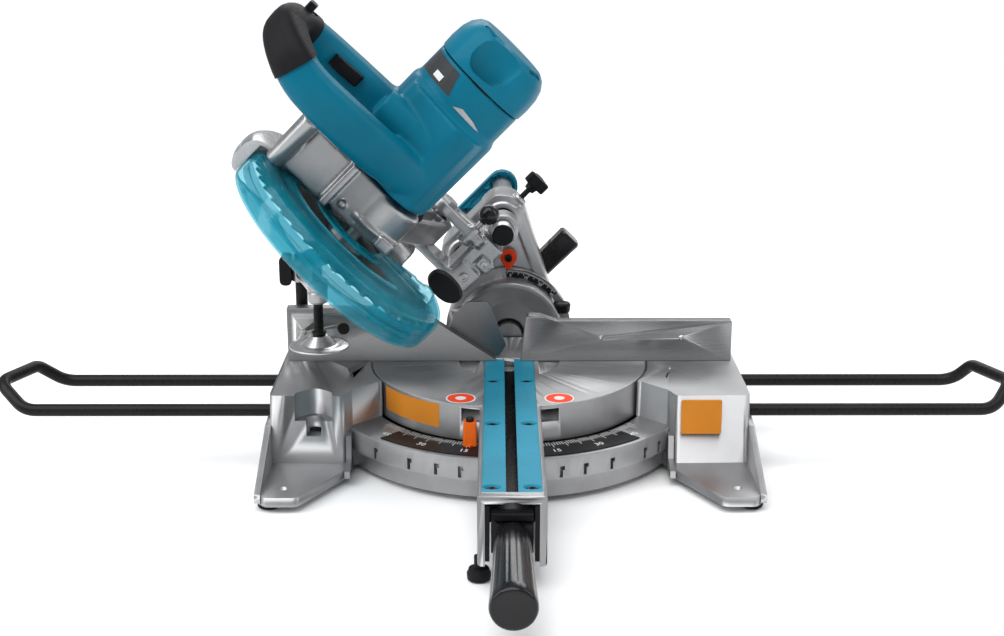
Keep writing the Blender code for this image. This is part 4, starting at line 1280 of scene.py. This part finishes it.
web = slab(filleted([(22, 64, 2), (22, 111, 2), (80, 111, 2), (80, 64, 2)]), "y", 122, 170)
spine = slab([(60, -4), (100, 78), (103, 78), (103, 84), (92, 90), (52, 2)], "y", 119.6, 168)
recess = slab(
    filleted([(39.5, 47.5, 4), (47.5, 39.5, 4), (63, 55, 7), (55, 63, 7)], 5), "y", 110, 122.6
)
back_pocket = slab(
    filleted([(-30, 18, 8), (0, 56, 10), (40, 66, 10), (74, 56, 10), (48, 10, 10), (0, 6, 10)], 5), "y",
    140, 180,
)
bores = [rod((u, 100, POLE_W), (u, 190, POLE_W), BUSH_HOLE, steps=64) for u in POLES]
lock_boss = rod((96, LOCK_V, POLE_W), (107.5, LOCK_V, POLE_W), 8, edge=1)
bevel_arm = carved(upright, add=[disc, web, spine, lock_boss] + nose, cut=[back_pocket])
bevel_arm = carved(
    cast_skin(bevel_arm, 1.2, 4),
    cut=bores + [
        recess, rod((0, 100, 0), (0, 190, 0), PIN_HOLE),
        rod((86, LOCK_V, POLE_W), (112, LOCK_V, POLE_W), 3.4),
    ],
)
fitted("bevel_arm_casting", bevel_arm, HEAD, "bevel_arm", HEAD_CAST, "cast", "bevel_arm", sharp=40)
for u, name in zip(POLES, ("left", "right")):
    seal = turned(
        [(116.9, 11.6), (116.9, 13.1), (169, 13.1), (169, 11.6)], "y", (u, 0, POLE_W), 64, ring=True
    )
    fitted(f"slide_bush_{name}_ring", seal, HEAD, "bevel_arm", BLACK, "black", f"slide_bush_{name}", sharp=35)

RED = moulded_look("pointer_red", (0.85, 0.055, 0.008), 0.35)
pointer_line = [
    (55.5 + 9 * math.cos(math.radians(a)), 55.5 + 9 * math.sin(math.radians(a))) for a in range(-45, 136, 9)
] + [(47.2, 58.4), (46.2, 52.6), (45.2, 45.2), (52.6, 46.2), (58.4, 47.2)]
tear = slab(pointer_line, "y", 110.2, 111.7)
fitted("bevel_pointer_plate", eased(tear, 0.4, 35), HEAD, "bevel_arm", RED, "pointer", "bevel_pointer")
socket_screw("bevel_pointer_screw", (55.5, 110.2, 55.5), (0, -1, 0), 4, "bevel_arm", PAINT)

frame["nodes"]["bevel_scale"].data.materials.clear()
frame["nodes"]["bevel_scale"].data.materials.append(SCALE)
bevel_lines = []
for degree in range(0, 49):
    a = math.radians(91 - degree * 1.07)
    inner = 63.2 if degree % 5 else 61.2
    half = 0.22
    c, s = math.cos(a), math.sin(a)
    bevel_lines.append(
        [
            (r * c - h * s, 109.9, r * s + h * c)
            for r, h in ((inner, -half), (65.4, -half), (65.4, half), (inner, half))
        ]
    )
marks("bevel_scale_lines", bevel_lines, SAW, "turntable", "black")
digits = []
for degree in range(0, 46, 15):
    a = math.radians(88 - degree * 1.07)
    turn = Matrix.Translation(
        (59.6 * math.cos(a), 109.85, 59.6 * math.sin(a))
    ) @ Matrix.Rotation(math.pi / 2, 4, "X")
    digits.append(lettered(str(degree), 4.6, turn @ Matrix.Rotation(a - math.pi / 2, 4, "Z"), 0.04))
fitted("bevel_scale_numbers", gathered(digits), SAW, "turntable", INK, "black")
stop_knob = turned(filleted([(0, 0, 0), (0, 9, 2), (10, 10, 3), (12, 0, 0)], 4), steps=48)
stop_knob.transform(Matrix.Translation((56, 100, 22)))
fitted("bevel_stop_knob", stop_knob, SAW, "turntable", BLACK, "black", sharp=40)

# ---- bevel lever ---------------------------------------------------------------------------
# A steel lever with a moulded grip of three ribbed panels locks the arm's tilt.
hub = turned(
    filleted([(166, 0, 0), (166, 15.4, 2), (184, 16, 2), (187.6, 12, 2), (187.6, 0, 0)], 3), "y", steps=64
)
stalk_path = bent([((0, 182, 0), 0), ((28, 184, 10.5), 12), ((52, 184, 11), 0)], 6)
stalk = swept(stalk_path, lambda k: squircle(7, 7, 2.4, 32), up=(0, 1, 0))
grip_at = Matrix.Translation((46, 184, 11)) @ Matrix.Rotation(math.pi / 2, 4, "Y")
panels = loft(
    [
        [(a, b, z) for a, b in squircle(r, r, 3.4, 48)]
        for z, r in ((0, 10), (2, 12.6), (60, 13.4), (62, 12.6), (63, 11))
    ]
)
panels.transform(grip_at)
dents = []
for n in range(3):
    for side in (0, 1, 2, 3):
        dent = slab(
            filleted(
                [
                    (-8.4, 3.5 + n * 19.4, 1.5), (8.4, 3.5 + n * 19.4, 1.5), (8.4, 20.5 + n * 19.4, 1.5),
                    (-8.4, 20.5 + n * 19.4, 1.5),
                ],
                3,
            ),
            "y", 12.1, 16,
        )
        dent.transform(Matrix.Rotation(math.pi / 2 * side, 4, "Z"))
        dent.transform(grip_at)
        dents.append(dent)
fitted(
    "bevel_lever_hub", carved(hub, add=[stalk], cut=[rod((0, 150, 0), (0, 177, 0), PIN_HOLE)]), HEAD,
    "bevel_lever", BLACK, "black", "bevel_lever", sharp=40,
)
fitted(
    "bevel_lever_grip", eased(carved(panels, cut=dents), 0.5, 35), HEAD, "bevel_lever", GRIP, "black",
    "bevel_lever",
)

# ---- sliding carriage ----------------------------------------------------------------------
# A casting clamped to the two ground poles carries the head's pivot between two ribbed ears.
body = slab(filleted([(46, 74, 3), (46, 103, 4), (98, 103, 5), (98, 74, 3)]), "x", 0, 66)
clamp_lug = turned(filleted([(70, 0, 0), (70, 16, 2), (98, 16, 2), (98, 0, 0)], 3), "y", (79, 0, POLE_W), 64)
left_lug = slab(filleted([(9, 74, 3), (9, 98, 4), (33, 98, 4), (33, 74, 3)], 4), "y", 42.5, 60)
ears = []
for start, end in ((7.6, 16.4), (51.8, 62)):
    ear = slab(
        filleted(
            [(42, 96, 4), (46, CHOP_W, 10), (CHOP_V, CHOP_W + 18, 16), (80, CHOP_W, 12), (88, 96, 6)], 6
        ),
        "x", start, end,
    )
    ring = turned(
        filleted([(start - 0.5, 0, 0), (start - 0.5, 17, 1.5), (end + 0.5, 17, 1.5), (end + 0.5, 0, 0)], 3),
        "x", CHOP_AXIS, 64,
    )
    ears += [ear, ring]
toe = slab(filleted([(44.5, 70, 2), (44.5, 88, 2), (60, 88, 2), (60, 70, 2)]), "x", 38, 50)
stop_boss = rod((44, 50, 112), (66, 50, 112), 7, edge=1)
relief = [slab(filleted([(52, 108, 3), (56, 136, 6), (70, 136, 6), (76, 108, 3)], 4), "x", 59.4, 70)]
carriage = carved(body, add=[clamp_lug, left_lug, toe, stop_boss] + ears, cut=relief)
pole_bores = [
    rod((u, start, POLE_W), (u, 130, POLE_W), POLE_HOLE, steps=64)
    for u, start in zip(POLES, (62, 18))
]
carriage = carved(
    cast_skin(carriage, 1.15, 4),
    cut=pole_bores + [
        rod((0, CHOP_V, CHOP_W), (70, CHOP_V, CHOP_W), CHOP_HOLE), rod((38, 50, 112), (72, 50, 112), 3.9)
    ],
)
fitted("carriage_casting", carriage, HEAD, "carriage", HEAD_CAST, "cast", "carriage", sharp=40)
for u, name, start in zip(POLES, ("left", "right"), (60, 49)):
    pole = turned(
        filleted([(start, 0, 0), (start, POLE_RADIUS, 1), (300, POLE_RADIUS, 1), (300, 0, 0)], 2), "y",
        (u, 0, POLE_W), 64,
    )
    fitted(f"slide_pole_{name}_bar", pole, HEAD, "carriage", STEEL, "steel", f"slide_pole_{name}", sharp=35)
cap = turned(
    filleted([(46.4, 0, 0), (46.4, 10.6, 1.2), (49, 11.2, 0.5), (49, 0, 0)], 3), "y", (79, 0, POLE_W), 64
)
fitted("slide_pole_cap", cap, HEAD, "carriage", BLACK, "black", sharp=35)
pivot_nut = turned([(62.7, 10), (66, 10), (66.8, 9)], "x", CHOP_AXIS, 6)
fitted("chop_pivot_nut", pivot_nut, HEAD, "carriage", STEEL, "steel", sharp=25)
socket_screw("carriage_screw_a", (21, 42.6, 86), (0, -1, 0), 4.4, "carriage", STEEL)
socket_screw("carriage_screw_b", (44, 45.5, 80), (0, -1, 0), 3.6, "carriage", STEEL)

# ---- pole end plate ------------------------------------------------------------------------
# A painted plate ties the poles' rear ends together. It is dished between them and has a raised
# rim round each.
PLATE_RADIUS = 18
end_line = []
for centre_u, first in ((POLES[0], 90), (POLES[1], -90)):
    for k in range(25):
        a = math.radians(first + 180 * k / 24)
        end_line.append((centre_u + PLATE_RADIUS * math.cos(a), POLE_W + PLATE_RADIUS * math.sin(a)))
tie = slab(end_line, "y", 289, 304)
dish = []
for u in POLES:
    dish.append(turned([(286, 15.2), (291.5, 14.6), (291.5, 0)], "y", (u, 0, POLE_W), 64))
    dish.append(rod((u, 280, POLE_W), (u, 300.3, POLE_W), POLE_HOLE, steps=64))
waist = slab(filleted([(38, 74, 4), (64, 74, 4), (64, 101, 4), (38, 101, 4)]), "y", 286, 291)
tie = eased(carved(tie, cut=dish + [waist]), 1.2, 35, 3)
fitted("pole_end_plate_shell", tie, HEAD, "carriage", TEAL, "teal", "pole_end_plate")

# ---- stopper pin and slide lock ------------------------------------------------------------
# The ball knob pulls out to free the head, and the three-lobed screw locks the slide.
pin = turned(filleted([(51, 0, 0), (51, 3.4, 0.5), (75, 3.4, 0), (75, 0, 0)], 2), "x", (0, 50, 112), 32)
fitted("stopper_pin_rod", pin, HEAD, "stopper_pin", STEEL, "steel", "stopper_pin", sharp=35)
ball_line = [(73.2, 4.2), (74.2, 5.0)] + [
    (84 - 10.4 * math.cos(math.radians(a)), 10.4 * math.sin(math.radians(a)))
    for a in range(28, 181, 8)
]
ball = turned(ball_line, "x", (0, 50, 112), 56)
fitted("stopper_pin_ball", ball, HEAD, "stopper_pin", GRIP, "black", "stopper_pin", sharp=60)
lobe_line = []
for k in range(72):
    a = 2 * math.pi * k / 72
    reach = 11.4 + 2.4 * math.cos(3 * a)
    lobe_line.append((LOCK_V + reach * math.cos(a), POLE_W + reach * math.sin(a)))
lobe = eased(slab(lobe_line, "x", 124, 136), 1.8, 40, 3)
fitted("slide_lock_knob", lobe, HEAD, "slide_lock", BLACK, "black", "slide_lock_screw")
fitted(
    "slide_lock_stem",
    carved(
        rod((93.6, LOCK_V, POLE_W), (124.4, LOCK_V, POLE_W), 3),
        add=[rod((118, LOCK_V, POLE_W), (124.4, LOCK_V, POLE_W), 5.5, 7)],
    ),
    HEAD, "slide_lock", PAINT, "black", sharp=35,
)


# ---- hold-down clamp -----------------------------------------------------------------------
# A steel post drops in the rear of the base. The cast arm on it is locked by a wing knob, and
# its screw presses a turned foot on the work.
FOOT = (-184, -45)
post = turned(filleted([(-48, 0, 0), (-48, 6, 1), (104, 6, 1), (104, 0, 0)], 2), at=(*POST, 0), steps=48)
fitted("clamp_post_bar", post, SAW, "clamp_post", PAINT, "black", "clamp_post", sharp=35)
post_collar = turned(
    filleted([(76, 0, 0), (76, 9, 1.5), (98, 9, 1.5), (98, 0, 0)], 3), at=(*POST, 0), steps=48
)
nut_line = [
    (74, 8.2, 0.6), (76, 9.4, 0.6), (84, 9.6, 0.4), (85, 8.9, 0.3), (86.2, 8.9, 0.3), (87, 9.8, 0.4),
    (97, 10.6, 1), (97, 0, 0), (74, 0, 0),
]
nut = turned(filleted(nut_line, 2), at=(*FOOT, 0), steps=48)
beam = swept(
    [Vector((*POST, 87)), Vector((-196, -8, 86)), Vector((*FOOT, 86))], lambda k: squircle(6.6, 8, 2.8, 32)
)
holder = carved(
    post_collar, add=[nut, beam],
    cut=[rod((*POST, 60), (*POST, 120), 6.3), rod((*FOOT, 60), (*FOOT, 120), 5.3)],
)
fitted("clamp_arm_casting", holder, SAW, "clamp", HEAD_CAST, "cast", "clamp_arm", sharp=40)
lock_stem = rod((-213, 28, 88), (-220, 28, 88), 3.2)
paddle = slab(
    filleted([(-229.5, 73, 6), (-217.5, 73, 6), (-217.5, 103, 6), (-229.5, 103, 6)], 8), "y", 19, 37
)
fitted(
    "clamp_wing_knob", eased(carved(paddle, add=[lock_stem]), 1.6, 40, 3), SAW, "clamp_lock", BLACK,
    "black", "clamp_lock_screw",
)
PITCH, ROOT, CREST = 2.0, 4.2, 4.9
thread = [(36.6, 4.6)]
for turn in range(14):
    z = 42 + PITCH * turn
    thread += [(z, ROOT), (z + 0.9, CREST), (z + 1.2, CREST), (z + PITCH, ROOT)]
thread += [(72, 4.8), (113, 4.8)]
fitted(
    "clamp_screw_thread", turned(thread, at=(*FOOT, 0), steps=40), SAW, "clamp_screw", PAINT, "black",
    "clamp_screw", sharp=30,
)
top = []
for k in range(80):
    a = 2 * math.pi * k / 80
    r = 12 - 0.7 * (0.5 + 0.5 * math.cos(16 * a)) ** 2
    top.append((FOOT[0] + r * math.cos(a), FOOT[1] + r * math.sin(a)))
fitted(
    "clamp_screw_knob", eased(slab(top, "z", 112.6, 125), 1, 50), SAW, "clamp_screw", BLACK, "black",
    "clamp_screw",
)
collar = turned(
    filleted([(41.8, 0, 0), (41.8, 6.4, 0.8), (45, 7.4, 0.8), (46.4, 5.4, 0.4), (46.4, 0, 0)], 3),
    at=(*FOOT, 0), steps=48,
)
fitted("clamp_screw_collar", collar, SAW, "clamp_screw", PAINT, "black", sharp=35)
dish = turned(
    filleted(
        [
            (30, 0, 0), (30, 29, 0.6), (31.6, 29, 0.6), (33, 24, 0.5), (32.4, 19, 0.5), (33, 16.5, 0.4),
            (41.4, 8.2, 0.8), (41.4, 0, 0),
        ],
        3,
    ),
    at=(*FOOT, 0), steps=96,
)
CHROME = milled_look("turned_foot", (1, 1, 60), 0.6)
fitted(
    "clamp_foot_dish", carved(dish, cut=[rod((*FOOT, 36.2), (*FOOT, 50), 5.2)]), SAW, "clamp_foot", CHROME,
    "milled", "clamp_foot", sharp=30,
)

# ---- support foot --------------------------------------------------------------------------
# A rubber puck on a threaded stem under the front of the arm steadies the table. It is screwed
# down to the bench.
puck = turned(
    filleted([(-81.5, 0, 0), (-81.5, 9.6, 1), (-76, 10, 1), (-73.5, 8.6, 1), (-72, 8.6, 1), (-72, 0, 0)], 3),
    at=(-27, -322, 0), steps=48,
)
stem = rod((-27, -322, -73), (-27, -322, -61.3), 4)
fitted(
    "arm_support_puck", carved(puck, add=[stem]), SAW, "turntable", RUBBER, "rubber", "arm_support_foot",
    sharp=35,
)


# ---- plates on the base and the table ------------------------------------------------------
# Blank orange plates are glued on the table's rim and the right side table, and two round red
# and white ones on the table's top. They carry no lettering.
NOTICE = moulded_look("orange_plate", (0.62, 0.22, 0.02), 0.45, 900, 0.00002)
NOTICE_RADIUS = TABLE_RADIUS + 0.15
mesh = bmesh.new()
columns = []
for k in range(25):
    a = math.radians(-151 + 32 * k / 24)
    columns.append(
        [mesh.verts.new((NOTICE_RADIUS * math.cos(a), NOTICE_RADIUS * math.sin(a), z)) for z in (-26, -3)]
    )
for first, second in zip(columns, columns[1:]):
    mesh.faces.new((first[0], second[0], second[1], first[1]))
wrap = bpy.data.meshes.new("wrap")
mesh.to_mesh(wrap)
mesh.free()
fitted("drum_notice", wrap, SAW, "turntable", NOTICE, "pointer")
front = slab(filleted([(161, -37, 1.5), (199, -37, 1.5), (199, -4, 1.5), (161, -4, 1.5)]), "y", -107.9, -105)
fitted("side_notice", front, SAW, "base", NOTICE, "pointer")
for side, name in ((-1, "left"), (1, "right")):
    for layer, radius, low, high, look, slot in (
        ("edge", 14, 0.02, 0.18, INK, "black"), ("ring", 12.6, 0.1, 0.26, RED, "pointer"),
        ("middle", 5, 0.2, 0.34, INK, "black"),
    ):
        disc = turned([(low, radius), (high, radius)], at=(side * 46, -112, 0), steps=48)
        fitted(f"table_notice_{name}_{layer}", disc, SAW, "turntable", look, slot, sharp=30)

# ---- parts inside the saw ------------------------------------------------------------------
# Bolts, bushes, spring, spindle, bearings, fan and motor keep the shape that they are packed with.
# Each takes the finish of its own material.
MILLED = milled_look("milled_aluminium")
COPPER = milled_look("copper_windings", (60, 1, 60), 0.3)
finish = {
    "cast": CAST, "milled": MILLED, "steel": STEEL, "teal": TEAL, "board": BOARD, "black": BLACK,
    "black_paint": PAINT, "rubber": RUBBER, "pointer": RED, "clear_guard": BOARD, "copper": COPPER,
}
for part in frame["record"]["subparts"]:
    if part["node"] not in ("mitre_scale", "bevel_scale"):
        looks = frame["nodes"][part["node"]].data.materials
        looks.clear()
        looks.append(finish[part["material_slot"]])
